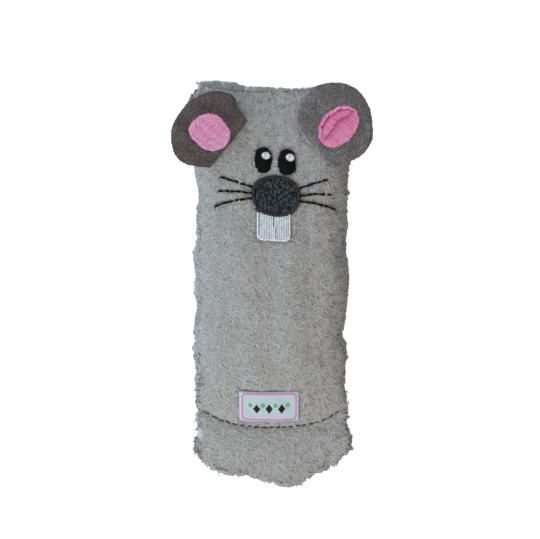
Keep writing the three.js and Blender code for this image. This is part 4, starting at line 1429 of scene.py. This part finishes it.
EYE_RAGGED = 0.45
for side in SIDES:
    outline = oval(eyes[side] - (0, EYE_SINK), EYE_WIDTH + 0.4, EYE_HEIGHT + 0.2, EYE_POWER)
    rows = filled(outline, 0.05, PITCH, lambda row: [], random, EYE_RAGGED)
    pad = pad_parts(drawn_in(outline, EYE_RAGGED), outline.mean(axis=0), on_front, SKIN_DEPTH, FACE_PAD)
    names = (f"{side}_eye_satin", f"{side}_eye", "black_thread", "body")
    sewn(*names, on_front, rows, "black_thread", thread=THREAD, lift=0.35, pad=pad)

    dot = eyes[side] + (HIGHLIGHT_RIGHT, HIGHLIGHT_UP - EYE_SINK)
    outline = oval(dot, 2 * HIGHLIGHT_R - 0.2, 2 * HIGHLIGHT_R - 0.5, 2.0, 40)
    rows = filled(outline, 1.2, PITCH, lambda row: [], random, 0.1)
    pad = pad_parts(drawn_in(outline, 0.35), dot, on_front, 0.3, 0.7)
    names = (f"{side}_eye_highlight_satin", f"{side}_eye_highlight", "white_thread", "body")
    sewn(*names, on_front, rows, "white_thread", thread=0.26, lift=0.9, pad=pad)

# %% [markdown]
# ### Nose
# The nose is filled with upright rows of short stitches, whose ends make rows of dots. A satin border runs
# round it, and where it starts, at the lower left, it is fat and stands clear of the edge.

# %% Nose
NOSE_CUT = [
    (13.9, 44.3),
    (13.0, 48.4),
    (9.8, 51.9),
    (4.5, 53.9),
    (-1.5, 53.9),
    (-7.0, 52.0),
    (-9.6, 48.4),
    (-10.0, 44.0),
    (-8.8, 39.6),
    (-5.0, 36.0),
    (0.5, 34.0),
    (6.0, 34.0),
    (10.0, 35.7),
    (12.9, 39.4),
]
NOSE_PITCH = 0.98
NOSE_STITCH = 0.9
BORDER_PITCH = 0.42
BORDER_START = np.array([-8.0, 38.4])  # where the border starts and ends, at the lower left


def upright(row):
    """Cuts of an upright row, shifted in every other row."""
    return np.arange(20, 70, NOSE_STITCH) + 0.3 * (row % 2)


nose_outline = loop(NOSE_CUT, 120)
inner_nose = drawn_in(nose_outline, NOSE_BORDER + 0.15)
rows = filled(inner_nose, math.pi / 2, NOSE_PITCH, upright, random)
pad = pad_parts(inner_nose, nose, on_front, SKIN_DEPTH, 0.6)
names = ("nose_fill", "nose_patch", "nose_cloth", "body")
sewn(*names, on_front, rows, "nose_thread", thread=0.38, lift=0.72, arch=0.25, dive=0.6, pad=pad)

outer, inwards = even(nose_outline, 0.5)
sides = (outer + inwards * 0.25, outer + inwards * (NOSE_BORDER - 0.25))
pad = band_parts(*sides, on_front, SKIN_DEPTH, 0.7)
rows = bordered(nose_outline, NOSE_BORDER, BORDER_PITCH, 0.25)
from_start = rows[:, 0] - BORDER_START
beyond = np.linalg.norm(from_start, axis=1) * np.sign(from_start[:, 0] - from_start[:, 1])
fat = ((beyond > 0) * np.exp(-((beyond / 4.5) ** 2)))[:, None]
at_bottom = soft_step(nose[1] - 3 - rows[:, 0, 1], 0, 4)[:, None]
way = rows[:, 1] - rows[:, 0]
rows[:, 0] -= way * (0.5 * fat + 0.22 * at_bottom)
rows[:, 1] += way * 0.3 * fat
rows = rows[(beyond > 0) | (beyond < -1.0)]
names = ("nose_satin", "nose_border", "black_thread", "body")
sewn(*names, on_front, rows, "border_thread", thread=THREAD, lift=0.95, arch=0.2, dive=0.6, pad=pad)

# %% [markdown]
# ### Teeth
# The two teeth hang below the nose. Each has a bright satin edge, a narrow gap and a fill of upright
# stitches, whose cuts are a little uneven.

# %% Teeth
TEETH_TILT = -0.07  # the lower edge falls to the right
TEETH_TOP = 36.4
TEETH_SPLIT = 0.58  # below this share of their height the teeth have a border each
TOOTH_PITCH = 0.84
TOOTH_STITCH = 1.2


def under_nose(x):
    """The lower edge of the nose's border above each place."""
    return np.array([row_span(nose_outline[:, ::-1], place)[0] for place in x]) + 0.3


def tooth_outline(side, room):
    """One tooth, drawn in by some room: square at the middle, round at its outer lower corner."""
    inner, outer = side * 0.03, side * (TEETH_WIDTH / 2 - room)
    radius = TEETH_CORNER_R - room
    top_x = np.linspace(inner, outer, 10)
    top = np.stack([top_x, np.minimum(under_nose(teeth_x + top_x), TEETH_TOP) - teeth_bottom], axis=1)
    angle = np.linspace(0, math.pi / 2, 9)
    corner_x = outer - side * radius * (1 - np.cos(angle))
    corner = np.stack([corner_x, room + radius * (1 - np.sin(angle))], axis=1)
    seam = [(inner, room)]
    if room:
        own_edge, split = side * room, TEETH_SPLIT * TEETH_DROP
        seam = [(own_edge, room), (own_edge, split), (inner, split + 0.4)]
    points = np.vstack([top, corner, seam])
    points[:, 1] += TEETH_TILT * points[:, 0] * (1 - points[:, 1] / 14)
    points += (teeth_x, teeth_bottom)
    return points if side < 0 else points[::-1]


def dashes(row):
    return np.arange(20, 60, TOOTH_STITCH) + 0.6 * (row % 2) + random.uniform(-0.25, 0.25)


for side, sign in SIDES.items():
    outline = tooth_outline(sign, TOOTH_BORDER + 0.1)
    middle = outline.mean(axis=0)
    rows = filled(outline, math.pi / 2, TOOTH_PITCH, dashes, random)
    pad = pad_parts(even(outline, 0.6)[0], middle, on_front, SKIN_DEPTH, 0.5)
    names = (f"{side}_tooth_fill", f"{side}_tooth", "white_thread", "body")
    sewn(*names, on_front, rows, "tooth_thread", thread=0.42, lift=0.6, arch=0.15, dive=0.5, pad=pad)

    outline = tooth_outline(sign, 0.0)
    outer, inwards = even(outline, 0.4)
    sides = (outer + inwards * 0.15, outer + inwards * (TOOTH_BORDER - 0.15))
    pad = band_parts(*sides, on_front, SKIN_DEPTH, 0.6)
    rows = bordered(outline, TOOTH_BORDER, BORDER_PITCH, 0.2)
    lower = rows[:, 0, 1] < teeth_bottom + TEETH_SPLIT * TEETH_DROP
    seam_side = np.abs(rows[:, 0, 0] - teeth_x) < 1
    below = rows[:, 0, 1] < np.minimum(under_nose(rows[:, 0, 0]), TEETH_TOP) - 0.4
    rows = rows[(lower | ~seam_side) & below]
    names = (f"{side}_tooth_border_satin", f"{side}_tooth_border", "white_thread", "body")
    sewn(*names, on_front, rows, "white_thread", thread=0.25, lift=0.9, arch=0.15, dive=0.5, pad=pad)

# %% [markdown]
# ### Whiskers
# Each whisker is a line of a few stitches of doubled black thread, cut a little unevenly and not quite
# straight. The pile closes over parts of it.


# %% Whiskers
def split_line(line, cuts, overlap):
    """Stitches of five points along a line of evenly spaced points."""
    share = np.linspace(0, 1, len(line))
    stitches = []
    for start, end, more in zip(cuts, cuts[1:], overlap):
        at = mix(start - more, end + more, STITCH_SHARE)
        stitches.append(np.stack([np.interp(at, share, line[:, k]) for k in (0, 1)], axis=1))
    return stitches


WHISKER_STITCH = 2.9
WHISKER_POINTS = 40
WHISKER_APART = 0.24  # half the distance of the two threads
WHISKER_SWAY = 0.18
for name, whisker in WHISKERS.items():
    line = whisker_line(*whisker, WHISKER_POINTS)
    count = round(whisker[3] / WHISKER_STITCH)
    stitches = []
    for strand in (-WHISKER_APART, WHISKER_APART):
        cuts = np.linspace(0, 1, count + 1)
        cuts[1:-1] += random.uniform(-0.02, 0.02, count - 1)
        shifted = line + (0, strand)
        sway = np.sin(np.linspace(0, count * math.pi, WHISKER_POINTS) + 4 * strand)
        shifted[:, 1] += WHISKER_SWAY * sway
        stitches += split_line(shifted, cuts, random.uniform(-0.03, 0.015, count))
    names = (f"{name}_thread", name, "black_thread", "body")
    sewn(*names, on_front, stitches, "black_thread", thread=0.33, lift=0.75, arch=0.2, dive=1.2)

# %% [markdown]
# ## Ears
# Each ear is two layers of short velour, sewn together round the edge and turned, so its rim is round and
# its outline is not quite even. The velour's finish has a fine slanted rib and soft blotches. Both ears are
# one velour, and the left ear is darker than the right one: the right ear's lighter colours are painted
# light, where its nap catches the lamps.

# %% Ear cuts
EAR_CUTS = {
    "left": [
        (14.9, -1.2),
        (16.2, 7.4),
        (18.6, 13.6),
        (16.1, 20.7),
        (10.6, 26.8),
        (2.6, 30.7),
        (-6.2, 31.3),
        (-14.0, 29.5),
        (-20.0, 23.8),
        (-22.9, 17.6),
        (-22.4, 10.8),
        (-18.9, 4.2),
        (-15.6, -1.2),
    ],
    "right": [
        (15.4, -1.2),
        (17.7, 6.2),
        (18.9, 14.1),
        (16.4, 21.7),
        (10.9, 26.7),
        (2.6, 31.3),
        (-7.2, 32.5),
        (-15.1, 29.0),
        (-20.9, 21.5),
        (-22.7, 14.8),
        (-20.2, 7.6),
        (-17.0, 2.0),
        (-14.8, -1.2),
    ],
}
EAR_POINTS = 110  # round an outline, without its base
EAR_MIDDLE = np.array([-1.5, 13.0])
EAR_MAP = 64  # millimetres across an ear's map
RIB_PITCH = 0.9
BLOTCH_SIZE = 8.0
NAP_SIZE = 1.1


def ear_outline(cut, count):
    """A smooth line round an ear from one end of its base to the other, and straight along the base."""
    points = np.array(cut, float)
    padded = np.vstack([2 * points[0] - points[1], points, 2 * points[-1] - points[-2]])
    spot = np.linspace(0, len(points) - 1, count)
    first = np.minimum(spot.astype(int), len(points) - 2)
    t = (spot - first)[:, None]
    arc = curve_between(*(padded[first + step] for step in (0, 1, 2, 3)), t)
    base = np.linspace(arc[-1], arc[0], 26)[1:-1]
    return np.vstack([arc, base])


def velour(name, dark, light, rib_share, blotch_share):
    """Short dark pile with a fine slanted rib and soft blotches, drawn on the ear's own map."""
    finish = Finish(name, Specular_IOR_Level=0.2, Sheen_Weight=0.35, Sheen_Roughness=0.4, Roughness=0.9)
    map_u, map_v = finish.own_map()
    inputs = {0: map_u * (EAR_MAP * MM), 1: map_v * (EAR_MAP * MM)}
    spot = finish.node("ShaderNodeCombineXYZ", None, inputs)
    blotch = finish.noise(spot, BLOTCH_SIZE)
    nap = finish.noise(spot, NAP_SIZE, 3.0)
    rib = ((map_u * 0.93 + map_v * 0.37) * EAR_MAP + 0.7 * nap) * (2 * math.pi / RIB_PITCH)
    rib = 0.5 + 0.5 * rib.math("SINE", rib)
    tone = nap + rib_share * rib + blotch_share * blotch - (rib_share + blotch_share) / 2
    finish.drive("Base Color", finish.mixed(tone.smooth(0, 1), dark, light))
    finish.bump(rib_share * rib + nap, 0.3)
    return finish.material


# The right ear's lighter colours are painted light, where its nap catches the lamps; both ears are one
# velour.
velours = {
    "left": velour("velour_left", paint(48, 44, 45), paint(108, 101, 101), 0.15, 0.7),
    "right": velour("velour_right", paint(58, 54, 53), paint(132, 126, 125), 0.5, 0.4),
}


def mapped(mesh, spots):
    """Gives a mesh its own map, one spot for each point."""
    layer = mesh.uv_layers.new(name="OFBake")
    corners = np.empty(len(mesh.loops), int)
    mesh.loops.foreach_get("vertex_index", corners)
    layer.data.foreach_set("uv", np.asarray(spots)[corners].astype(np.float32).reshape(-1))


print("ear cuts:", {side: len(cut) for side, cut in EAR_CUTS.items()}, "points")

# %% [markdown]
# A layer is a grid of rings from its outline to its middle, which rounds off at the rim and is shut by its
# flat inside. It could be a filled curve with a bevel, but rings keep the rim's slope even all round.

# %% Ear layers
EAR_RINGS = 26
ear_tops = {}


def ear_layer(name, node, body, seat, outline, side, material):
    """One layer of an ear: a grid of rings that rounds off at the rim, shut by its flat inside."""
    shares = np.sin(np.linspace(0, math.pi / 2, EAR_RINGS + 1))[:0:-1]
    plans = [EAR_MIDDLE + (outline - EAR_MIDDLE) * share for share in shares]
    rise = [EAR_LAYER * (1 - share**7) ** 0.5 for share in shares]
    flat = np.vstack(plans + [EAR_MIDDLE])
    uneven = waves(np.column_stack([flat, np.zeros(len(flat))]), 13, 10, 8) * 0.06
    height = np.append(np.repeat(rise, len(outline)), EAR_LAYER)
    height = np.maximum(height * (1 + uneven), 0.02)
    top = seat.place(flat, side * height)
    inside = seat.place(np.vstack([outline, EAR_MIDDLE]), 0.0)
    points = np.vstack([top, inside])
    count = len(outline)
    faces = []
    for k in range(count):
        beside = (k + 1) % count
        for ring in range(EAR_RINGS - 1):
            faces.append(ring_quad(k, count, ring * count, (ring + 1) * count))
        last = (EAR_RINGS - 1) * count
        faces.append((last + k, last + beside, len(top) - 1))
        faces.append((len(top) + beside, len(top) + k, len(points) - 1))
        faces.append((len(top) + k, len(top) + beside, beside, k))
    if side < 0:
        faces = [face[::-1] for face in faces]
    ear_tops[node] = flat, top, [face for face in faces if max(face) < len(top)]
    mesh = new_mesh(name, points, faces)
    hidden = EAR_MIDDLE + (outline - EAR_MIDDLE) * 0.97  # so that no face is a bare line on the map
    plan = np.vstack([flat, hidden, EAR_MIDDLE])
    mapped(mesh, 0.5 + (plan - (0, 15)) / EAR_MAP)
    piece = new_object(name, mesh, material)
    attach(piece, body)
    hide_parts(node)
    x, y = outline.T
    area = abs(np.sum(x * np.roll(y, -1) - y * np.roll(x, -1))) / 2
    return area


for side, seat in ears.items():
    outline = ear_outline(EAR_CUTS[side], EAR_POINTS)
    for layer, sign in (("front", 1), ("back", -1)):
        node = f"{side}_ear_{layer}"
        area = ear_layer(f"{node}_velour", node, f"{side}_ear", seat, outline, sign, velours[side])
    print(side, "ear cut area", round(area), "square millimetres")

# %% [markdown]
# The pink inside of an ear is embroidered on its front layer: a ragged satin border round a fill. Every
# other stitch lies higher, so single rows show. On the right ear a deep groove parts the fill, which also
# leaves a gap along one side of the border. On the left ear three faint grooves cross it.

# %% Pink ovals
OVAL_CUTS = {
    "left": [
        (6.2, 11.6),
        (5.0, 17.4),
        (0.6, 21.9),
        (-5.4, 23.6),
        (-9.8, 21.9),
        (-11.4, 15.8),
        (-10.6, 8.4),
        (-7.3, 3.1),
        (-1.4, 0.5),
        (3.9, 2.8),
    ],
    "right": [
        (9.6, 11.4),
        (8.2, 18.1),
        (4.7, 23.2),
        (-0.6, 24.9),
        (-5.4, 22.5),
        (-7.9, 16.9),
        (-7.6, 10.2),
        (-4.6, 4.6),
        (0.8, 1.5),
        (6.6, 3.0),
    ],
}
OVAL_POINTS = 110  # round an outline
OVAL_BORDER = 1.7
OVAL_LIFT = EAR_LAYER + 0.35
OVAL_PITCH = 0.62
OVAL_RAGGED = 0.28
OVAL_GROOVE = 1.0  # where the groove of the right oval lies along the ear's base
RIPPLES = np.array([-7.6, -3.0, 1.4])  # where those of the left oval lie
RIPPLE_PHASES = np.array([0, 1.7, 3.1])
GROOVE_DEPTHS = {"left": 0.1, "right": 0.5}
OVAL_LAPS = {"left": 0.6, "right": 0.2}  # how far the fill runs under its border
FILL_SHIFTS = {"left": (0, 0), "right": (0.8, 0)}
ROW_STEPS = {"left": 0.16, "right": 0.34}  # every other row lies this much higher or lower
ROW_ANGLE = 0.1  # near enough to both fills to number their rows


def groove(row):
    """One wavering groove along the oval."""
    return [OVAL_GROOVE + 0.7 * math.sin(0.27 * row) + random.uniform(-0.5, 0.5)]


def ripples(row):
    """Three faint and uneven grooves."""
    places = RIPPLES + 0.6 * np.sin(0.21 * row + RIPPLE_PHASES)
    return places + random.uniform(-1.1, 1.1, len(RIPPLES))


OVAL_FILLS = {"left": (0.1, ripples, 0.22), "right": (0.12, groove, 0.55)}  # angle, cuts and swell
for side, seat in ears.items():
    outline = loop(OVAL_CUTS[side], OVAL_POINTS)
    middle = outline.mean(axis=0)
    inner = drawn_in(outline, OVAL_BORDER - OVAL_LAPS[side]) + FILL_SHIFTS[side]
    angle, cuts, swell = OVAL_FILLS[side]
    fill = filled(inner, angle, OVAL_PITCH, cuts, random)
    border = bordered(outline, OVAL_BORDER, OVAL_PITCH, 0.3, OVAL_RAGGED)
    row_numbers = np.round(turned(fill[:, 0], -ROW_ANGLE)[:, 1] / OVAL_PITCH)
    steps = np.concatenate([row_numbers, np.arange(len(border))]) % 2 * 2 - 1
    arch = np.repeat([swell, 0.2], [len(fill), len(border)]) + ROW_STEPS[side] * steps
    dive = np.full(len(arch), 0.4)
    from_middle = np.linalg.norm(fill.mean(axis=1) - middle, axis=1)
    dive[: len(fill)] = mix(GROOVE_DEPTHS[side], 0.1, soft_step(from_middle, 5, 10))
    pad = pad_parts(drawn_in(outline, 0.4), middle, seat.place, EAR_LAYER - 0.6, OVAL_LIFT - 0.1)
    names = (f"{side}_ear_oval_satin", f"{side}_ear_oval", "pink_thread", f"{side}_ear")
    stitches = np.concatenate([fill, border])
    sewn(*names, seat.place, stitches, f"pink_thread_{side}", THREAD, OVAL_LIFT + 0.15, arch, dive, pad)

# %% [markdown]
# The velour's nap is too short to show single hairs, but it softens the rim and gives the cloth its grain.
# It is the pile's tree again, with short strands in fewer steps that lie towards the ear's base.


# %% Ear nap
NAP_DENSITIES = {"front": 3.2e6, "back": 2.0e6}
NAP_LENGTHS = {"front": 1.3 * MM, "back": 0.6 * MM}
NAP_THICKNESS = 0.55 * MM
NAP_CLEAR = 5.0  # the back stays bare this far from the base, where the ear folds onto its seam
NAP_TUFT = 160.0
NAP_BLOTCH = 0.42
NAP_LIE = -0.5  # how strongly the nap lies towards the base
nap_nodes = pile_tree("velour_nap", STRAND_STEPS - 1, STRAND_SIDES)


def nap_finish(name, dark, light):
    finish = Finish(name, Sheen_Weight=0.3, Sheen_Roughness=0.4, Specular_IOR_Level=0.1)
    shade, along = finish.own_map()
    tone = finish.mixed(shade.smooth(0.1, 0.9), dark, light)
    # Each strand runs from the dark colour at its root to its own tone: painted shade down among the nap.
    finish.drive("Base Color", finish.mixed(along.smooth(0.1, 0.6), dark, tone))
    finish.drive("Roughness", 0.8 + 0.15 * shade)
    return finish.material


# As with the velour, the right ear's nap is painted lighter: painted light where its nap catches the lamps.
naps = {
    "left": nap_finish("nap_left", paint(88, 80, 80), paint(150, 140, 140)),
    "right": nap_finish("nap_right", paint(99, 96, 96), paint(174, 168, 168)),
}


def within(points, outline):
    """Which points lie inside a closed outline."""
    a, b = outline, np.roll(outline, -1, axis=0)
    x, y = points[:, :1], points[:, 1:]
    reach = a[:, 0] + (y - a[:, 1]) / (b[:, 1] - a[:, 1] + 1e-9) * (b[:, 0] - a[:, 0])
    return (((a[:, 1] > y) != (b[:, 1] > y)) & (x < reach)).sum(axis=1) % 2 == 1


for side, seat in ears.items():
    for layer, density in NAP_DENSITIES.items():
        flat, top, faces = ear_tops[f"{side}_ear_{layer}"]
        name = f"{side}_ear_{layer}_nap"
        bare = flat[:, 1] < NAP_CLEAR
        if layer == "front":
            bare = within(flat, loop(OVAL_CUTS[side], OVAL_POINTS))
        lie = np.broadcast_to(NAP_LIE * seat.out, top.shape)
        nap = grown(
            name,
            combed(new_mesh(name, top, faces), 1.0 - bare, np.ones(len(flat)), lie),
            nap_nodes,
            Density=density,
            Length=NAP_LENGTHS[layer],
            Thickness=NAP_THICKNESS,
            Swirl=SWIRL_SCALE,
            Tuft=NAP_TUFT,
            Blotch=NAP_BLOTCH,
            Floor=PILE_FLOOR,
            Seed=len(flat),
            Material=naps[side],
        )
        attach(nap, f"{side}_ear")
        print(name, len(nap.data.polygons), "faces")

# %% [markdown]
# The ears are sewn on along their base lines. The seam is a low bead of velour, oversewn with small
# stitches.

# %% Ear seams
SEAM_STITCH = 1.1
SEAM_END = 3  # the stitches stop this far before the ends of the base line
SEAM_DROP = 1.9  # the crown of the bead lies this far below the hinge
BEAD_LENGTH = EAR_BASE - 3
BEAD_HALF = 1.3  # half its width
for side, seat in ears.items():
    flat = seat.along[:2] / np.linalg.norm(seat.along[:2])

    def on_seam(points, lift):
        """Along the base line of the ear and across it, off the seam's middle height."""
        u, v = np.asarray(points, float).T
        plan = seat.middle[:2] + u[:, None] * flat + v[:, None] * np.array([-flat[1], flat[0]])
        ground = front_height(plan[:, 0], plan[:, 1])
        crown = seat.middle[2] + u * seat.along[2] / np.linalg.norm(seat.along[:2]) - SEAM_DROP
        height = mix(ground, crown, np.clip(np.reshape(lift, -1), -1, 1.2))
        return np.column_stack([plan, height])

    outline = oval(np.zeros(2), BEAD_LENGTH, 2 * BEAD_HALF, 3.0, 80)
    pad = pad_parts(outline, np.zeros(2), on_seam, -0.6, 0.9)
    seam_reach = EAR_BASE / 2 - SEAM_END
    spots = np.arange(-seam_reach, seam_reach, SEAM_STITCH)
    stitches = [((u, -BEAD_HALF), (u + 0.5, BEAD_HALF)) for u in spots]
    names = (f"{side}_ear_seam_bead", f"{side}_ear_seam", "velour", "body")
    sewn(*names, on_seam, stitches, "ear_thread", thread=0.22, lift=0.95, arch=0.05, dive=0.4, pad=pad)

# %% [markdown]
# ## Seams of the tube
# The toe is shut by a line of olive thread. The closing stitch is a running stitch of dark thread on the
# front, with its mate on the back. The lengths of its stitches vary, as they do by hand.

# %% Seam threads
TOE_THREAD_END = 3
TOE_STITCH, TOE_STEP = 2.0, 2.2
CLOSING_THREAD_INSET = 2.5
CLOSING_STEPS = (2.9, 4.1)
CLOSING_SPACE = 0.9  # between a stitch and the next one


def on_toe(points, lift):
    x, v = np.asarray(points, float).T
    return on_front(np.column_stack([x, toe_line(x) - TOE_THREAD_INSET + v]), lift)


def wandering(starts, ends, stray):
    """Stitches from starts to ends along a line, which stray from it a little."""
    stitches = []
    for start, end in zip(starts, ends):
        stitches.append(((start, random.uniform(-stray, stray)), (end, random.uniform(-stray, stray))))
    return stitches


toe_reach = TOE_WIDTH / 2 - TOE_THREAD_END
marks = np.arange(-toe_reach, toe_reach, TOE_STEP)
stitches = wandering(marks, marks + TOE_STITCH, 0.15)
names = ("toe_thread", "toe_seam_thread", "seam_thread", "body")
sewn(*names, on_toe, stitches, "seam_thread", thread=0.36, lift=0.9, arch=0.15, dive=0.4)

closing_reach = CLOSING_WIDTH / 2 - CLOSING_THREAD_INSET
for layer, sign in (("front", 1), ("back", -1)):

    def on_closing(points, lift):
        x, v = np.asarray(points, float).T
        return np.column_stack([x, closing_line(x) + v, SEAM_HEIGHT + sign * np.reshape(lift, -1)])

    marks = [-closing_reach]
    while marks[-1] < closing_reach:
        marks.append(marks[-1] + random.uniform(*CLOSING_STEPS))
    stitches = wandering(marks[:-1], np.array(marks[1:]) - CLOSING_SPACE, 0.2)
    names = (f"closing_stitch_{layer}_thread", f"closing_stitch_{layer}", "grey_thread", "body")
    sewn(*names, on_closing, stitches, "grey_thread", thread=0.27, lift=1.3, arch=0.35, dive=0.9)

# %% [markdown]
# ## Label
# A white satin ribbon is sewn on over the pile just above the closing stitch. Its frame is printed in pink,
# and a row of diamonds and dots fills it. The pattern reads the ribbon's own map, in millimetres from its
# middle.

# %% Label finish
LABEL_MAP = 34
FRAME_HALF = (13.3, 6.45)
FRAME_CORNER = 1.6
FRAME_UP = 0.25
FRAME_LINE = 0.72
PRINT_BLUR = 0.08
STEP = 6.2  # from diamond to diamond
ROW_END = 10.6  # from the middle
satin = Finish("satin_ribbon", Specular_IOR_Level=0.25, Sheen_Weight=0.05)
map_u, map_v = satin.own_map()
across = (map_u - 0.5) * LABEL_MAP
upward = (map_v - 0.5) * LABEL_MAP - FRAME_UP


def past(wire, limit):
    """How far a wire's distance from 0 goes past a limit."""
    over = abs(wire) - limit
    return over.math("MAXIMUM", over, 0.0)


corner_u = past(across, FRAME_HALF[0] - FRAME_CORNER)
corner_v = past(upward, FRAME_HALF[1] - FRAME_CORNER)
from_frame = abs((corner_u**2 + corner_v**2) ** 0.5 - FRAME_CORNER)
on_frame = 1 - from_frame.smooth(FRAME_LINE / 2 - PRINT_BLUR, FRAME_LINE / 2 + PRINT_BLUR)
wrapped = across.math("WRAP", across, -STEP / 2, STEP / 2)
diamond = 1 - (abs(wrapped) + 0.75 * abs(upward + 0.9)).smooth(1.75, 1.95)
between = across.math("WRAP", across + STEP / 2, -STEP / 2, STEP / 2)
dot = 1 - ((between**2 + (upward - 0.9) ** 2) ** 0.5).smooth(1.05, 1.2)
in_row = 1 - abs(across).smooth(ROW_END, ROW_END + 0.1)
weave = satin.node("ShaderNodeCombineXYZ", None, {0: across * MM, 1: upward * (6 * MM)})
thread_tone = satin.noise(weave, 0.5)
ribbon = satin.mixed(thread_tone, paint(180, 192, 205), paint(196, 207, 218))
ribbon = satin.mixed(on_frame, ribbon, paint(214, 118, 160))
ribbon = satin.mixed(diamond * in_row, ribbon, paint(6, 6, 7))
ribbon = satin.mixed(dot * in_row, ribbon, paint(84, 188, 66))
satin.drive("Base Color", ribbon)
satin.drive("Roughness", 0.4 + 0.15 * thread_tone)
satin.bump(thread_tone, 0.05)
print("ribbon finish nodes:", len(satin.tree.nodes))

# %% [markdown]
# The ribbon itself is a thin grid with two sides. It sags a little along the middle, is crinkled, and its
# edges roll down onto the pile. A row of stitches holds each end.

# %% Label
LABEL_THICK = 0.5
LABEL_STEPS = (61, 31)
LABEL_EDGES = (-6.7, 7.9)  # its lower and upper edge at the ends, from the middle
LABEL_SAGS = (0.9, 0.5)  # how much lower each edge is at the middle
LABEL_RISE = 0.9
ROLL_FROM = 0.94  # the share of the way out from the middle at which the edges roll down
CRINKLE = 0.18
u, v = np.meshgrid(np.linspace(-1, 1, LABEL_STEPS[0]), np.linspace(-1, 1, LABEL_STEPS[1]))
u, v = u.reshape(-1), v.reshape(-1)
bulge = 1 - u**2
low_edge, high_edge = (edge - sag * bulge for edge, sag in zip(LABEL_EDGES, LABEL_SAGS))
label_x = label_centre[0] + u * LABEL_WIDTH / 2
label_y = label_centre[1] + mix(low_edge, high_edge, (v + 1) / 2)
plan = np.column_stack([label_x, label_y])
rolled = np.maximum(np.abs(u), np.abs(v))
crinkle = CRINKLE * waves(np.column_stack([plan, np.zeros(len(plan))]), 9, 8, 21) * (1 - rolled**6)
roll = np.clip((rolled - ROLL_FROM) / (1 - ROLL_FROM), 0, 1) ** 2
lift = GAP + LABEL_RISE + crinkle - LABEL_RISE * roll
top = on_front(plan, lift + LABEL_THICK)
under = on_front(plan, lift)
columns, lines = LABEL_STEPS
faces = []
for row in range(lines - 1):
    for column in range(columns - 1):
        a = row * columns + column
        quad = (a, a + 1, a + columns + 1, a + columns)
        faces.append(quad)
        faces.append(tuple(k + len(top) for k in quad[::-1]))
rim = list(range(columns)) + [row * columns + columns - 1 for row in range(1, lines)]
rim += list(range(lines * columns - 2, (lines - 1) * columns - 1, -1))
rim += [row * columns for row in range(lines - 2, 0, -1)]
for a, b in zip(rim, rim[1:] + rim[:1]):
    faces.append((a, a + len(top), b + len(top), b))
mesh = new_mesh("label_ribbon", np.vstack([top, under]), faces)
spots = np.column_stack([u * LABEL_WIDTH / 2, v * LABEL_HEIGHT / 2]) / LABEL_MAP + 0.5
mapped(mesh, np.vstack([spots, mix(0.5, spots, 0.97)]))
label_ribbon = new_object("label_ribbon", mesh, satin.material)
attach(label_ribbon, "body")
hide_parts("label")

LABEL_LIFT = GAP + LABEL_THICK + 1.0
LABEL_STITCH_INSET = 1.1  # from the ends of the ribbon
LABEL_STITCH_REACH = 5.6  # from the middle, up and down
LABEL_STITCH_SPACE = 0.4
for side, sign in SIDES.items():
    stitch_x = label_centre[0] + sign * (LABEL_WIDTH / 2 - LABEL_STITCH_INSET)
    marks = label_centre[1] + np.linspace(-LABEL_STITCH_REACH, LABEL_STITCH_REACH, 6)
    ends = marks[1:] - LABEL_STITCH_SPACE
    stitches = [((stitch_x, start), (stitch_x, end)) for start, end in zip(marks, ends)]
    names = (f"label_stitch_{side}_thread", f"label_stitch_{side}", "white_thread", "body")
    sewn(*names, on_front, stitches, "white_thread", thread=0.2, lift=LABEL_LIFT, arch=0.1, dive=0.3)
print("label_ribbon", len(faces), "faces")

# %% [markdown]
# ## Filling
# Inside are two wads of fibre, a flat pouch of dried leaves between them and the stiffening sheet behind
# the face. Their solids already have the right shape, so each piece is the solid's mesh, and the surfaces
# of the wads and the leaves are uneven.


# %% Filling
def inner_finish(name, dark, light, size, depth):
    finish = Finish(name, Roughness=0.95, Sheen_Weight=0.2)
    grain = finish.noise(finish.place(), size, 4.0)
    finish.drive("Base Color", finish.mixed(grain, dark, light))
    finish.bump(grain, depth)
    return finish.material


fibre = inner_finish("fibre", paint(206, 206, 202), paint(242, 242, 240), 2.5, 0.8)
nonwoven = inner_finish("nonwoven", paint(214, 214, 210), paint(238, 238, 236), 0.8, 0.1)
herb = inner_finish("dried_herb", paint(84, 92, 48), paint(150, 150, 92), 1.6, 0.8)


FILLING_LUMPS = 16


def filling(name, node, material, uneven):
    """A copy of a solid's mesh with its points moved in a little along its normals."""
    mesh = frame["nodes"][node].data.copy()
    mesh.materials.clear()
    count = len(mesh.vertices)
    points = np.empty(count * 3)
    normals = np.empty(count * 3)
    mesh.vertices.foreach_get("co", points)
    mesh.vertices.foreach_get("normal", normals)
    points, normals = points.reshape(-1, 3), normals.reshape(-1, 3)
    points -= normals * (uneven * MM * (1 + waves(points / MM, FILLING_LUMPS, 12, 31))[:, None] / 2)
    mesh.vertices.foreach_set("co", points.reshape(-1))
    piece = new_object(name, mesh, material)
    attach(piece, "body")
    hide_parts(node)
    return piece


for layer in ("front", "back"):
    filling(f"wad_{layer}", f"stuffing_{layer}", fibre, 0.4)
    sheet = filling(f"pouch_{layer}", f"sachet_{layer}", nonwoven, 0.0)
filling("dried_leaves", "catnip_fill", herb, 0.1)
backing = filling("stiffening_sheet", "face_backing", nonwoven, 0.0)
